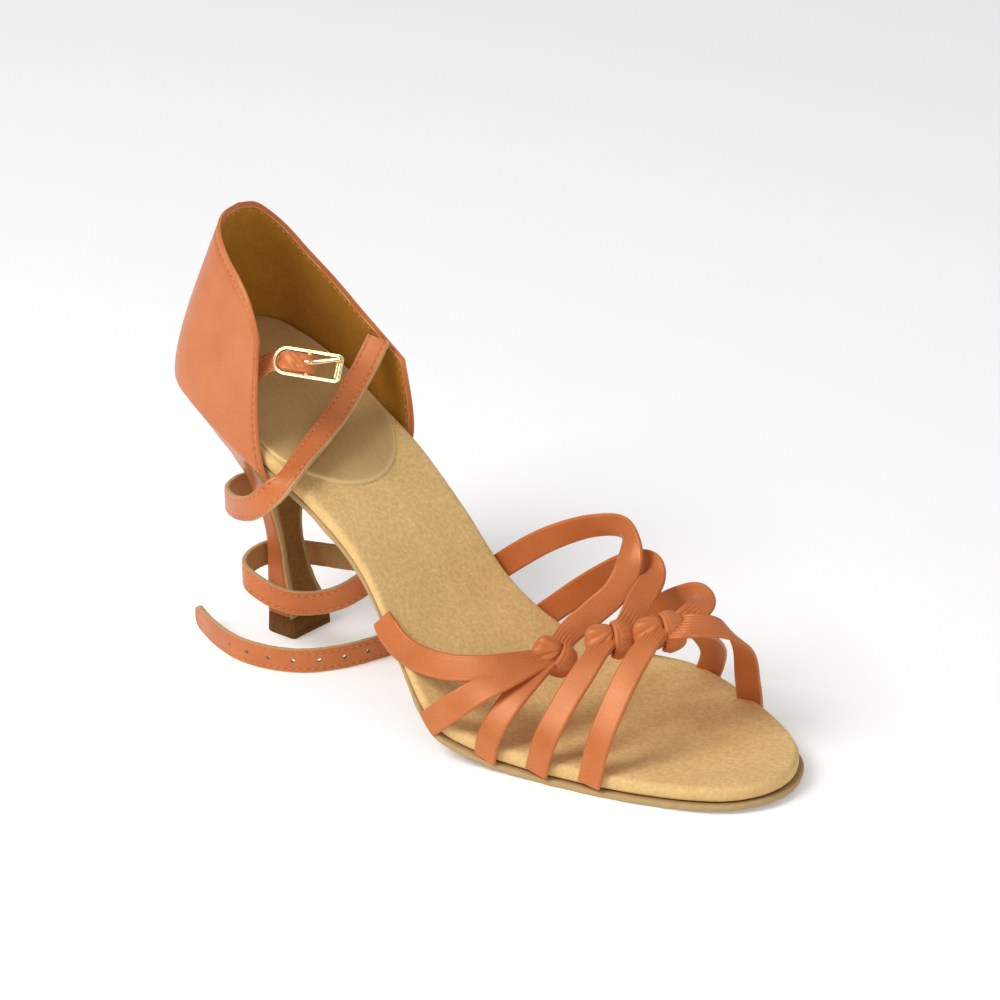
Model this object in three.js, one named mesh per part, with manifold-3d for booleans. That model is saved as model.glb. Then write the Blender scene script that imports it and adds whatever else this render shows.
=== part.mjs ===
// A women's Latin dance sandal for the right foot, in millimetres, standing empty on its sole.
// +X runs from heel to toe, +Y to the inner (medial) side and +Z up.
// Lengths along the shoe are measured from the back of the heel seat, and the whole group is then
// moved so that the origin is the middle of the heel tip on the floor.
import * as THREE from 'three';
import { mergeVertices } from 'three/addons/utils/BufferGeometryUtils.js';
import Module from 'manifold-3d';

const wasm = await Module();
wasm.setup();

// Driving sizes
const HEEL_BACK = 1.5;
const TOE_TIP = 223;
const INSOLE_THICK = 4.5;
const OUTSOLE_THICK = 1.8;
const GAP = 0.3;
const SOLE_DEPTH = INSOLE_THICK + GAP + OUTSOLE_THICK;
const SEAT_INSOLE_THICK = SOLE_DEPTH - GAP;
const BREAST_X = 46.7;
const FLANGE = 1.2;
const WALL = 1.5;
const PAD_THICK = 0.8;
const PAD_INSET = 1.7;
const PAD_FRONT = 74;
const PAD_ARC = 26;
const FLAP_THICK = 1.4;
const LIFT_HEIGHT = 6.6;
const STRAP_WIDTH = 8;
const STRAP_THICK = 1.5;
const ANKLE_WIDTH = 7.6;
const ANKLE_THICK = 1.4;
const HEEL_TIP_X = 37.5;

// The last: centre line and half width in plan, and the height of the insole's top.
const LAST = [
  { x: 1.5, centre: 3.5, half: 0, top: 88.7 },
  { x: 8.5, centre: 3.6, half: 18.8, top: 86.9 },
  { x: 18.9, centre: 3.1, half: 24, top: 83.4 },
  { x: 33.1, centre: 1.8, half: 25.9, top: 78.1 },
  { x: 52, centre: -0.5, half: 25.5, top: 69.9 },
  { x: 70.9, centre: -2.0, half: 24.4, top: 60.8 },
  { x: 89.8, centre: -3.8, half: 23.5, top: 47.5 },
  { x: 108.7, centre: -6.3, half: 26.2, top: 28.5 },
  { x: 127.6, centre: -6.0, half: 33.1, top: 14.2 },
  { x: 141.8, centre: 0.8, half: 37.6, top: 8.9 },
  { x: 155.9, centre: 5.6, half: 39.2, top: 6.9 },
  { x: 170.1, centre: 5.9, half: 36.7, top: 6.6 },
  { x: 184.3, centre: 5.1, half: 32.5, top: 6.6 },
  { x: 198.5, centre: 4.1, half: 27.0, top: 6.9 },
  { x: 208.9, centre: 3.1, half: 21.5, top: 7.3 },
  { x: 216.4, centre: 2.4, half: 15.6, top: 7.6 },
  { x: 223, centre: 1.5, half: 0, top: 8.0 },
];
const HEEL_FULLNESS = 0.465;
const TOE_FULLNESS = 0.41;

// The heel block: one row a section, from the tip up to the seat, with its back and breast points
// how square the back is, where 2 is round, and the share of its length at which it is full width.
const HEEL = [
  { backX: 31.7, backZ: 6.9, breastX: 43.4, breastZ: 6.9, half: 8.1, backY: 0, breastY: 0, square: 5, widest: 0.5 },
  { backX: 31.3, backZ: 9, breastX: 42.4, breastZ: 9, half: 7.6, backY: 0, breastY: 0, square: 5, widest: 0.5 },
  { backX: 30.2, backZ: 14.5, breastX: 40.4, breastZ: 14.5, half: 6.1, backY: 0, breastY: 0, square: 4.5, widest: 0.5 },
  { backX: 29.6, backZ: 20.5, breastX: 38.6, breastZ: 20.5, half: 5.2, backY: 0, breastY: 0, square: 4, widest: 0.5 },
  { backX: 29.6, backZ: 27.5, breastX: 37.3, breastZ: 27, half: 4.9, backY: 0, breastY: 0, square: 4, widest: 0.5 },
  { backX: 28.8, backZ: 35, breastX: 36.4, breastZ: 33, half: 5.3, backY: 0, breastY: 0, square: 4, widest: 0.5 },
  { backX: 26.4, backZ: 42.5, breastX: 36.1, breastZ: 38.5, half: 6.6, backY: 0.2, breastY: 0, square: 3.2, widest: 0.5 },
  { backX: 22, backZ: 51, breastX: 36.8, breastZ: 44.5, half: 8.6, backY: 0.6, breastY: 0, square: 2.4, widest: 0.6 },
  { backX: 15.4, backZ: 59.5, breastX: 38.6, breastZ: 50.2, half: 12.6, backY: 1.2, breastY: 0.1, square: 2, widest: 0.75 },
  { backX: 7.6, backZ: 69, breastX: 41.6, breastZ: 55.8, half: 17.4, backY: 2.2, breastY: 0.2, square: 2, widest: 0.85 },
  { backX: 1.4, backZ: 77, breastX: 44.6, breastZ: 60, half: 22.2, backY: 3, breastY: 0.2, square: 2, widest: 0.9 },
];

// The heel cup: each column runs from the seat at x = footX up to a point of the topline.
// rounds is how far the column bellies outward, and sweep how far its middle lies forward.
const CUP_LATERAL = [
  { footX: 1.5, topX: 16.9, topY: 3, topZ: 132.3, rounds: 2.4, sweep: 0 },
  { footX: 2.8, topX: 17.7, topY: -3.8, topZ: 131.6, rounds: 2.4, sweep: 0 },
  { footX: 6.2, topX: 20.8, topY: -9.4, topZ: 129.6, rounds: 2.3, sweep: 0 },
  { footX: 12, topX: 25.6, topY: -13.6, topZ: 127, rounds: 1.9, sweep: 0 },
  { footX: 20, topX: 31.8, topY: -17.2, topZ: 123.6, rounds: 1.4, sweep: 0 },
  { footX: 30, topX: 38.5, topY: -20, topZ: 120, rounds: 1.1, sweep: 0 },
  { footX: 40, topX: 44, topY: -22.2, topZ: 115.5, rounds: 0.8, sweep: -0.6 },
  { footX: 48, topX: 47.8, topY: -23.7, topZ: 109.5, rounds: 0.7, sweep: -1.6 },
  { footX: 55.3, topX: 49.7, topY: -24.9, topZ: 104, rounds: 0.5, sweep: -2.6 },
];
const CUP_MEDIAL = [
  { footX: 1.5, topX: 16.9, topY: 3, topZ: 132.3, rounds: 2.4, sweep: 0 },
  { footX: 2.8, topX: 17.7, topY: 9.5, topZ: 130.9, rounds: 2.4, sweep: 0 },
  { footX: 6.2, topX: 19.8, topY: 13.8, topZ: 127.4, rounds: 2.3, sweep: 0 },
  { footX: 12, topX: 23.3, topY: 17.9, topZ: 121.8, rounds: 1.9, sweep: 0 },
  { footX: 20, topX: 28.5, topY: 20.9, topZ: 114.8, rounds: 1.4, sweep: 0 },
  { footX: 30, topX: 36.6, topY: 23.1, topZ: 107.2, rounds: 1.1, sweep: 0 },
  { footX: 40, topX: 45, topY: 24.7, topZ: 99.2, rounds: 0.8, sweep: 0.4 },
  { footX: 50, topX: 53.6, topY: 25.9, topZ: 91.8, rounds: 0.7, sweep: 1.0 },
  { footX: 63.3, topX: 61.2, topY: 26.7, topZ: 85.4, rounds: 0.5, sweep: 1.8 },
];

// The knots of the upper, on the line where the inner and outer legs meet.
const KNOTS = {
  rear: [150, -10.5, 27.5],
  middle: [164, -2, 33.8],
  front: [176.6, 5.2, 37.2],
};

// The legs of the upper: the path of each strap's middle, and the direction of its width.
const LEGS = [
  { name: 'outer_1', path: [[98.2, -30.2, 35.2], [103.7, -31.4, 30.2], [112.5, -33, 26.6], [127.5, -33.2, 26.2],
    [140, -28.5, 27.6], [146.5, -19, 28], [150, -10.5, 27.5]],
  side: [[0.5, 0.5, 0.6], [0.2, 0.5, 0.8], [0, 0.5, 0.87], [0, 0.5, 0.87], [-0.3, 0.5, 0.8], [-0.7, 0.4, 0.5], [-0.8, 0.3, 0.3]] },
  { name: 'outer_2', path: [[127, -40.4, 10.3], [134.5, -39.2, 17], [141, -33.8, 22.6],
    [145.5, -26, 25.6], [148.5, -17, 26.8], [150, -10.5, 26.8]],
  side: [[-0.85, 0, 0.5], [-0.8, 0, 0.6], [-0.8, 0.1, 0.5], [-0.85, 0.2, 0.3], [-0.95, 0.1, 0], [-1, 0, 0]] },
  { name: 'outer_3', path: [[145.5, -36.9, 4.2], [146.6, -36.1, 10.5], [148.4, -31.5, 17.6],
    [149.6, -24.5, 23], [150, -17, 26], [150, -10.5, 27]],
  side: [[-1, 0, 0.1], [-1, 0, 0.2], [-1, 0, 0.2], [-1, 0, 0.2], [-1, 0, 0], [-1, 0, 0]] },
  { name: 'outer_4', path: [[162, -33.6, 4], [163.6, -31.7, 12.6], [165, -25.5, 21.4],
    [165.4, -17, 28.6], [165, -9, 33.2], [164, -2, 34.6]],
  side: [[-1, 0, 0.1], [-1, 0, 0.2], [-1, 0, 0.2], [-1, 0, 0.2], [-1, 0, 0], [-1, 0, 0]] },
  { name: 'outer_5', path: [[178.5, -30, 4], [179.4, -27, 14.2], [179.6, -20, 24.4],
    [179, -11, 32.8], [178.4, -2.5, 37.6], [177.5, 6, 39]],
  side: [[-1, 0, 0.1], [-1, 0, 0.2], [-1, 0, 0.2], [-1, 0, 0.2], [-1, 0, 0], [-1, 0, 0]] },
  { name: 'inner_1', path: [[150, -10.5, 27.5], [146.8, -1, 30], [149.2, 7.6, 34.6], [152.8, 13.6, 40],
    [153.2, 19, 46.4], [148.6, 25, 51], [142.5, 29, 52.2], [130, 29.6, 48.8], [115.6, 26.4, 41.4],
    [102.8, 21.4, 31.6], [98.2, 20.9, 27.4]],
  side: [[-1, 0, 0], [-0.9, -0.1, 0.3], [-0.75, -0.25, 0.6], [-0.75, -0.3, 0.45], [-0.8, -0.4, 0.05],
    [-0.6, -0.1, -0.6], [-0.3, 0.2, -0.9], [0, 0.3, -0.95], [0.3, 0.2, -0.9], [0.5, 0, -0.8],
    [0.5, 0, -0.8]] },
  { name: 'inner_2', path: [[164, -2, 34.6], [163.4, 6, 35.6], [161.4, 14, 39.6], [160.2, 21, 43.6],
    [155.4, 26, 44.8], [146, 28.8, 41.6], [133, 29.8, 32.8], [119.6, 26.4, 21],
    [114.4, 24.6, 16.2]],
  side: [[-1, 0, 0], [-0.85, -0.3, 0.4], [-0.78, -0.39, 0.5], [-0.85, -0.4, 0.1], [-0.6, -0.1, -0.6], [-0.3, 0.3, -0.9],
    [0, 0.3, -0.95], [0.4, 0, -0.9], [0.5, 0, -0.9]] },
  { name: 'inner_3', path: [[177.5, 6, 37.6], [180.6, 12, 40.6], [181, 18, 42.4], [176, 23, 41.8],
    [165.4, 28.6, 36.4], [152.6, 33.6, 26.6], [140.6, 37.2, 9]],
  side: [[-1, 0, 0], [-0.8, 0, 0.5], [-0.8, -0.2, 0.1], [-0.6, 0.1, -0.6], [-0.1, 0.4, -0.9], [0.2, 0.3, -0.9],
    [0.6, 0, -0.6]] },
  { name: 'inner_4', path: [[177.5, 6, 37.2], [178.6, 15, 35], [176.4, 25, 28], [171.6, 35, 19],
    [165, 42.6, 10], [161, 45.4, 4.2]],
  side: [[-1, 0, 0], [-1, 0, 0], [-0.9, -0.2, -0.2], [-0.9, -0.3, -0.2], [-1, -0.3, 0], [-1, -0.3, 0]] },
  { name: 'inner_5', path: [[177.5, 6, 38], [185, 8.6, 40.6], [191, 14.6, 39.2], [192.4, 22, 31.4],
    [187.6, 31, 15.4], [183, 38.2, 4.2]],
  side: [[-0.4, 0.8, 0.2], [-0.5, 0.8, 0.3], [-0.8, 0.4, 0.4], [-1, 0, 0.1], [-1, -0.3, 0], [-1, -0.4, 0]] },
];

// The ankle strap: from inside the inner quarter, over the footbed, round the heel twice, and along the floor.
const ANKLE_PATH = [
  [53.8, 23, 91], [54.6, 15, 84], [57, 3, 77.2], [60.6, -11, 72.8], [63, -22, 69.4], [63.6, -29.6, 65.6],
  [59.4, -32.6, 60.6], [53, -33.2, 55.4], [44.6, -31, 52.4], [35, -25, 50.4], [27.2, -14.5, 47.4], [20.6, -3, 43.4],
  [19.4, 7, 41], [23.6, 16, 39.4], [32, 21.5, 38], [45, 22.4, 36], [57, 18, 33.4], [66, 10, 29.6], [68.4, 2, 25.6],
  [63.6, -5.6, 20.2], [57.6, -11, 17.8], [50, -16, 17.6], [42.4, -18.4, 19.6], [34.6, -18.4, 22.4],
  [29.6, -13, 22.6], [27, -4.6, 22.2], [27.4, 3.6, 21.2], [30.4, 9.4, 19.4], [36.6, 12.4, 19.2], [45.4, 13, 20.4],
  [54.6, 11.6, 22.8], [64, 11, 23.6], [72.4, 12, 20.4], [77.4, 13, 13.4], [77.4, 12, 7], [74.6, 7, 4.1],
  [72.4, -2, 4], [68.4, -13.4, 4], [61.6, -22.6, 4], [52, -27.4, 4], [40.4, -28.6, 4], [27.6, -25.4, 4], [13.6, -19, 4],
];
const ANKLE_SIDE = [
  [0.9, 0, -0.43], [0.94, 0, -0.34], [0.96, 0, -0.28], [0.97, 0, -0.22], [1, 0, 0], [1, 0, 0],
  [0.9, 0, -0.4], [0.6, 0, -0.8], [0.2, 0, -1],
];
const DOWN = [0, 0, -1];

// The buckle: the eye of its tab lies round the bar at BAR, in a frame of its own directions.
const BAR = [63, -17.6, 98.4];
const BUCKLE = { length: 21.8, height: 8.6, wire: 1.1, corner: 2.8, bar: 1.3, barFromEnd: 11 };
const EYE = { inner: 1.1, outer: 1.9, slot: 1.4, width: 5.6 };
const PRONG = { width: 1.6, inner: 1.1, outer: 1.8, needle: 1.2, overhang: 0.4 };
const TAB_START = [45.4, -22.2, 92.6];

// Number tools
const vec = (p) => new THREE.Vector3(p[0], p[1], p[2]);

// A smooth curve through the named columns of a table, with the slope at each row from its neighbours.
function column(rows, name, key = 'x') {
  const last = rows.length - 1;
  const slope = rows.map((row, i) => {
    const before = rows[Math.max(i - 1, 0)];
    const after = rows[Math.min(i + 1, last)];
    return (after[name] - before[name]) / (after[key] - before[key]);
  });
  return (x) => {
    let i = 0;
    while (i < last - 1 && x > rows[i + 1][key]) i += 1;
    const span = rows[i + 1][key] - rows[i][key];
    const t = (x - rows[i][key]) / span;
    const t2 = t * t;
    const t3 = t2 * t;
    return (2 * t3 - 3 * t2 + 1) * rows[i][name] + (t3 - 2 * t2 + t) * span * slope[i]
      + (3 * t2 - 2 * t3) * rows[i + 1][name] + (t3 - t2) * span * slope[i + 1];
  };
}

function smoothstep(x, low, high) {
  const t = Math.min(Math.max((x - low) / (high - low), 0), 1);
  return t * t * (3 - 2 * t);
}

// Both ends of the last are round, so its half width is a slowly changing fullness
// times the square root of the distances to the heel and to the toe.
const roundEnds = (x) => Math.sqrt(Math.max((x - HEEL_BACK) * (TOE_TIP - x), 0));
const fullnessRows = LAST.map((row, i) => ({
  x: row.x,
  full: i === 0 ? HEEL_FULLNESS : i === LAST.length - 1 ? TOE_FULLNESS : row.half / roundEnds(row.x),
}));
const fullness = column(fullnessRows, 'full');
const centre = column(LAST, 'centre');
const topZ = column(LAST, 'top');
const halfWidth = (x) => fullness(x) * roundEnds(x);

// A point of the last's edge in plan, moved outward by grow; side is -1 on the outer side, +1 on the inner.
function edgePoint(x, side, grow) {
  const at = (s) => new THREE.Vector2(s, centre(s) + side * halfWidth(s));
  const here = at(x);
  if (x <= HEEL_BACK) return new THREE.Vector2(x - grow, here.y);
  if (x >= TOE_TIP) return new THREE.Vector2(x + grow, here.y);
  const step = 0.02;
  const run = at(Math.min(x + step, TOE_TIP)).sub(at(Math.max(x - step, HEEL_BACK))).normalize();
  return here.add(new THREE.Vector2(-side * run.y, side * run.x).multiplyScalar(grow));
}

// Stations along the shoe, closer together at both ends.
function stations(from, to, count) {
  const all = [];
  for (let i = 0; i <= count; i += 1) {
    const x = HEEL_BACK + (TOE_TIP - HEEL_BACK) * (1 - Math.cos(Math.PI * i / count)) / 2;
    if (x > from + 1 && x < to - 1) all.push(x);
  }
  return [from, ...all, to];
}

// Solids from rings
function geometryOf(points, faces) {
  const geometry = new THREE.BufferGeometry();
  geometry.setAttribute('position', new THREE.Float32BufferAttribute(points.flatMap((p) => [p.x, p.y, p.z]), 3));
  geometry.setIndex(faces.flat());
  return geometry;
}

// A closed solid through rings of equal length. Each ring runs out along one side and back along the
// other, so an end is closed by strips between facing points.
function loft(rings, singleStart, singleEnd) {
  const n = rings[0].length;
  const points = rings.flat();
  const faces = [];
  for (let r = 0; r + 1 < rings.length; r += 1) {
    for (let i = 0; i < n; i += 1) {
      const j = (i + 1) % n;
      const a = r * n + i;
      const b = r * n + j;
      faces.push([a, b, b + n], [a, b + n, a + n]);
    }
  }
  const cap = (base, flip) => {
    const put = (a, b, c) => faces.push(flip ? [base + a, base + c, base + b] : [base + a, base + b, base + c]);
    let low = singleStart ? 1 : 0;
    let high = n - 1;
    if (singleStart) put(0, n - 1, 1);
    while (high - low > 2) {
      put(low, high, low + 1);
      put(high, high - 1, low + 1);
      low += 1;
      high -= 1;
    }
    if (singleEnd) put(low, high, low + 1);
  };
  cap(0, false);
  cap((rings.length - 1) * n, true);
  return outward(geometryOf(points, faces));
}

function volumeOf(geometry) {
  const p = geometry.attributes.position;
  const index = geometry.index;
  let sum = 0;
  for (let i = 0; i < index.count; i += 3) {
    const [a, b, c] = [0, 1, 2].map((k) => new THREE.Vector3().fromBufferAttribute(p, index.getX(i + k)));
    sum += a.dot(b.cross(c)) / 6;
  }
  return sum;
}

// Turns every face round where the solid came out inside out.
function outward(geometry) {
  if (volumeOf(geometry) > 0) return geometry;
  const list = Array.from(geometry.index.array);
  for (let i = 0; i < list.length; i += 3) [list[i + 1], list[i + 2]] = [list[i + 2], list[i + 1]];
  geometry.setIndex(list);
  return geometry;
}

// A plate that follows the last: its rings are layers of the outline at some depth below the top.
function plate(xs, layers) {
  const singleStart = xs[0] <= HEEL_BACK;
  const singleEnd = xs[xs.length - 1] >= TOE_TIP;
  const rings = layers.map(({ grow, depth }) => {
    const point = (x, side) => {
      const p = edgePoint(x, side, grow(x));
      return new THREE.Vector3(p.x, p.y, Math.max(topZ(p.x) - depth(x), 0));
    };
    const outer = xs.map((x) => point(x, -1));
    const inner = xs.map((x) => point(x, 1)).reverse();
    if (singleStart) inner.pop();
    if (singleEnd) inner.shift();
    return [...outer, ...inner];
  });
  return loft(rings, singleStart, singleEnd);
}

const constant = (value) => () => value;

function makeInsole() {
  const seat = (x) => SEAT_INSOLE_THICK - (SEAT_INSOLE_THICK - INSOLE_THICK) * smoothstep(x, BREAST_X - 6, BREAST_X - 2);
  return plate(stations(HEEL_BACK, TOE_TIP, 34), [
    { grow: constant(-1), depth: seat },
    { grow: constant(0), depth: constant(INSOLE_THICK - 1.2) },
    { grow: constant(0), depth: constant(1.5) },
    { grow: constant(-0.5), depth: constant(0.4) },
    { grow: constant(-1.6), depth: constant(0) },
  ]);
}

const flange = (x) => FLANGE * smoothstep(x, 104, 134);

function makeOutsole() {
  const sheet = plate(stations(BREAST_X, TOE_TIP, 34), [
    { grow: (x) => flange(x) - 0.3, depth: constant(SOLE_DEPTH) },
    { grow: flange, depth: constant(SOLE_DEPTH - 0.5) },
    { grow: flange, depth: constant(INSOLE_THICK + GAP + 0.4) },
    { grow: (x) => flange(x) - 0.3, depth: constant(INSOLE_THICK + GAP) },
  ]);
  return joined([sheet, makeBreastFlap()]);
}

// The flap of the outsole that runs down the heel's breast.
function makeBreastFlap() {
  const top = { breastX: BREAST_X + 2.4, breastZ: topZ(BREAST_X) - SOLE_DEPTH + 1, half: halfWidth(BREAST_X) - 0.4, breastY: 0 };
  const rings = [...HEEL, top].map((row) => [
    new THREE.Vector3(row.breastX, row.breastY - row.half, row.breastZ),
    new THREE.Vector3(row.breastX, row.breastY + row.half, row.breastZ),
    new THREE.Vector3(row.breastX - FLAP_THICK, row.breastY + row.half, row.breastZ),
    new THREE.Vector3(row.breastX - FLAP_THICK, row.breastY - row.half, row.breastZ),
  ]);
  return loft(rings, false, false);
}

// The room that the sole takes up, for trimming what lies against it.
function soleRoom(grow, fromDepth, toDepth) {
  return plate(stations(HEEL_BACK, TOE_TIP, 34), [
    { grow: constant(grow), depth: constant(toDepth) },
    { grow: constant(grow), depth: constant(fromDepth) },
  ]);
}

function makeHeelPad() {
  const arc = (x) => {
    const t = Math.min(Math.max((x - (PAD_FRONT - PAD_ARC)) / PAD_ARC, 0), 1);
    return (halfWidth(PAD_FRONT - PAD_ARC) - PAD_INSET) * Math.sqrt(1 - t * t);
  };
  const back = HEEL_BACK + PAD_INSET;
  const xs = [back, ...stations(HEEL_BACK, TOE_TIP, 34).filter((x) => x > back + 0.5 && x < PAD_FRONT - 3),
    PAD_FRONT - 3, PAD_FRONT - 1, PAD_FRONT];
  const ring = (height, inset) => {
    const half = (x) => {
      if (x <= back || x >= PAD_FRONT) return 0;
      const edge = edgePoint(x, 1, -PAD_INSET).y - centre(x);
      return Math.max(Math.min(edge, arc(x)) - inset, 0.2);
    };
    const point = (x, side) => new THREE.Vector3(x, centre(x) + side * half(x), topZ(x) + height);
    const inner = xs.map((x) => point(x, 1)).reverse().slice(1, -1);
    return [...xs.map((x) => point(x, -1)), ...inner];
  };
  return loft([ring(GAP + 0.1, 0), ring(GAP + PAD_THICK, 0.2)], true, true);
}

// One section of the heel: a round back and a flat breast, with slightly eased corners.
function heelSection(row, setBack) {
  const steps = 7;
  const side = [];
  for (let i = 0; i <= steps; i += 1) {
    const u = (1 - Math.cos(Math.PI * i / steps)) / 2;
    const round = u < row.widest ? (1 - (1 - u / row.widest) ** row.square) ** (1 / row.square) : 1;
    side.push({ u, v: round * (i === steps ? 0.93 : 1) });
  }
  const point = ({ u, v }, way) => new THREE.Vector3(
    row.backX + (row.breastX - setBack - row.backX) * u,
    row.backY + (row.breastY - row.backY) * u + way * v * row.half,
    row.backZ + (row.breastZ - row.backZ) * u,
  );
  return [...side.map((s) => point(s, -1)), ...side.slice(1).reverse().map((s) => point(s, 1))];
}

function makeHeel() {
  const rings = HEEL.map((row) => heelSection(row, FLAP_THICK + GAP));
  const steps = 7;
  const seatFront = BREAST_X - GAP;
  const seat = (way) => {
    const list = [];
    for (let i = 0; i <= steps; i += 1) {
      const x = HEEL_BACK + (seatFront - HEEL_BACK) * (1 - Math.cos(Math.PI * i / steps)) / 2;
      const p = edgePoint(x, way, WALL + GAP);
      list.push(new THREE.Vector3(Math.min(p.x, seatFront), p.y, topZ(p.x) - SOLE_DEPTH));
    }
    return list;
  };
  rings.push([...seat(-1), ...seat(1).slice(1).reverse()]);
  return loft(rings, true, false);
}

function makeTopLift() {
  const base = HEEL[0];
  const low = { ...base, backX: base.backX - 0.2, backZ: 0, breastZ: 0, half: base.half + 0.2 };
  const high = { ...base, backZ: LIFT_HEIGHT, breastZ: LIFT_HEIGHT };
  return loft([heelSection(low, 0), heelSection(high, 0)], true, false);
}

// A point of the heel cup's outer face: a column of the table at height t from seat to topline.
function cupPoint(col, side, t) {
  const foot = edgePoint(col.footX, side, WALL + GAP + 0.12);
  const low = new THREE.Vector3(foot.x, foot.y, topZ(foot.x) - SEAT_INSOLE_THICK);
  const high = new THREE.Vector3(col.topX, col.topY, col.topZ);
  const heart = new THREE.Vector3(Math.max(28, col.footX), centre(28), 0);
  const out = new THREE.Vector3(foot.x - heart.x, foot.y - heart.y, 0).normalize();
  const belly = Math.sin(Math.PI * t ** 0.62);
  const point = low.lerp(high, t).addScaledVector(out, col.rounds * belly);
  point.x += col.sweep * Math.sin(Math.PI * t ** 0.6);
  return point;
}

function makeCounter() {
  const between = (rows, t) => {
    const named = (name) => column(rows.map((row, i) => ({ ...row, i })), name, 'i')(t);
    return {
      footX: named('footX'), topX: named('topX'), topY: named('topY'), topZ: named('topZ'),
      rounds: named('rounds'), sweep: named('sweep'),
    };
  };
  const perSide = 16;
  const last = CUP_LATERAL.length - 1;
  const columns = [];
  for (let i = perSide; i > 0; i -= 1) columns.push({ side: -1, col: between(CUP_LATERAL, last * i / perSide) });
  for (let i = 0; i <= perSide; i += 1) columns.push({ side: 1, col: between(CUP_MEDIAL, last * i / perSide) });
  const levels = 8;
  const outer = columns.map(({ side, col }) => {
    const list = [];
    for (let k = 0; k <= levels; k += 1) list.push(cupPoint(col, side, k / levels));
    return list;
  });
  const inner = outer.map((list, i) => list.map((p, k) => {
    const along = outer[Math.min(i + 1, outer.length - 1)][k].clone().sub(outer[Math.max(i - 1, 0)][k]);
    const up = outer[i][Math.min(k + 1, levels)].clone().sub(outer[i][Math.max(k - 1, 0)]);
    const inward = along.cross(up).normalize();
    return p.clone().addScaledVector(inward, WALL);
  }));
  const rings = outer.map((list, i) => [...list, ...inner[i].slice().reverse()]);
  return loft(rings, false, false);
}

// A flat band along a path, with the direction of its width given at each point of the path.
function band(path, sides, width, thick, steps) {
  const line = new THREE.CatmullRomCurve3(path.map(vec), false, 'centripetal');
  const turn = new THREE.CatmullRomCurve3(sides.map(vec), false, 'catmullrom', 0.5);
  const rings = [];
  for (let i = 0; i <= steps; i += 1) {
    const t = i / steps;
    const run = line.getTangent(t);
    const across = turn.getPoint(t);
    across.addScaledVector(run, -across.dot(run)).normalize().multiplyScalar(width / 2);
    const up = across.clone().cross(run).normalize().multiplyScalar(thick / 2);
    const middle = line.getPoint(t);
    rings.push([[-1, -1], [1, -1], [1, 1], [-1, 1]].map(([a, b]) => (
      middle.clone().addScaledVector(across, a).addScaledVector(up, b))));
  }
  return loft(rings, false, false);
}

// Joining and cutting
function solidOf(geometry) {
  const bare = geometry.clone();
  bare.deleteAttribute('normal');
  bare.deleteAttribute('uv');
  const merged = outward(mergeVertices(bare, 1e-4));
  const solid = new wasm.Manifold(new wasm.Mesh({
    numProp: 3,
    vertProperties: new Float32Array(merged.attributes.position.array),
    triVerts: new Uint32Array(merged.index.array),
  }));
  return solid;
}

function geometryFrom(solid) {
  const mesh = solid.getMesh();
  const geometry = new THREE.BufferGeometry();
  geometry.setAttribute('position', new THREE.BufferAttribute(new Float32Array(mesh.vertProperties), 3));
  geometry.setIndex(new THREE.BufferAttribute(new Uint32Array(mesh.triVerts), 1));
  return geometry;
}

const joined = (geometries) => geometryFrom(geometries.map(solidOf).reduce((all, one) => all.add(one)));

// A knot: two full lobes side by side, with the wrap of the strap round them.
function knotPieces(at) {
  const place = (geometry, turn, shift) => {
    geometry.rotateX(turn[0]);
    geometry.rotateY(turn[1]);
    geometry.rotateZ(turn[2]);
    geometry.translate(at[0] + shift[0], at[1] + shift[1], at[2] + shift[2]);
    return geometry;
  };
  const lobe = (shift, size) => {
    const ball = new THREE.SphereGeometry(1, 12, 8);
    ball.scale(...size);
    return place(ball, [-0.35, 0, 0.4], shift);
  };
  const wrap = new THREE.TorusGeometry(4.6, 1.7, 6, 14);
  wrap.scale(1, 0.9, 1.5);
  return [lobe([-2.8, -1.5, 0.5], [6, 5, 3.8]), lobe([3.4, 1.6, 0.8], [5.4, 5.4, 4]),
    lobe([0.6, 0, 0.4], [3.4, 4.6, 5]), place(wrap, [0.2, Math.PI / 2, 0.5], [0.6, 0, 0.4])];
}

function makeVampStraps() {
  const legs = LEGS.map(({ path, side }) => band(path, side, STRAP_WIDTH, STRAP_THICK, path.length * 2 + 2));
  const knots = Object.values(KNOTS).flatMap(knotPieces);
  const clear = [soleRoom(GAP, -GAP, INSOLE_THICK), soleRoom(FLANGE + GAP, INSOLE_THICK, SOLE_DEPTH + GAP)];
  return geometryFrom(solidOf(joined([...legs, ...knots])).subtract(solidOf(joined(clear))));
}

function makeAnkleStrap() {
  const sides = ANKLE_PATH.map((_, i) => ANKLE_SIDE[i] ?? DOWN);
  return band(ANKLE_PATH, sides, ANKLE_WIDTH, ANKLE_THICK, 110);
}

// Buckle directions: along runs down the tab towards the free end, up lies in the buckle's plane along
// its bar, and face looks out of the shoe.
const along = new THREE.Vector3(0.94, 0.33, -0.03).normalize();
const lean = new THREE.Vector3(-0.135, 0.476, 0.87);
const up = lean.clone().addScaledVector(along, -lean.dot(along)).normalize();
const face = along.clone().cross(up);
const buckleFrame = new THREE.Matrix4().makeBasis(along, up, face).setPosition(vec(BAR));

// A ring round the bar, between two places along it.
function eyeRing(outerRadius, innerRadius, from, to) {
  const shape = new THREE.Shape().absarc(0, 0, outerRadius, 0, Math.PI * 2);
  shape.holes.push(new THREE.Path().absarc(0, 0, innerRadius, 0, Math.PI * 2, true));
  const ring = new THREE.ExtrudeGeometry(shape, { depth: to - from, bevelEnabled: false, curveSegments: 6 });
  ring.rotateX(-Math.PI / 2);
  ring.translate(0, from, 0);
  return ring;
}

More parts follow.
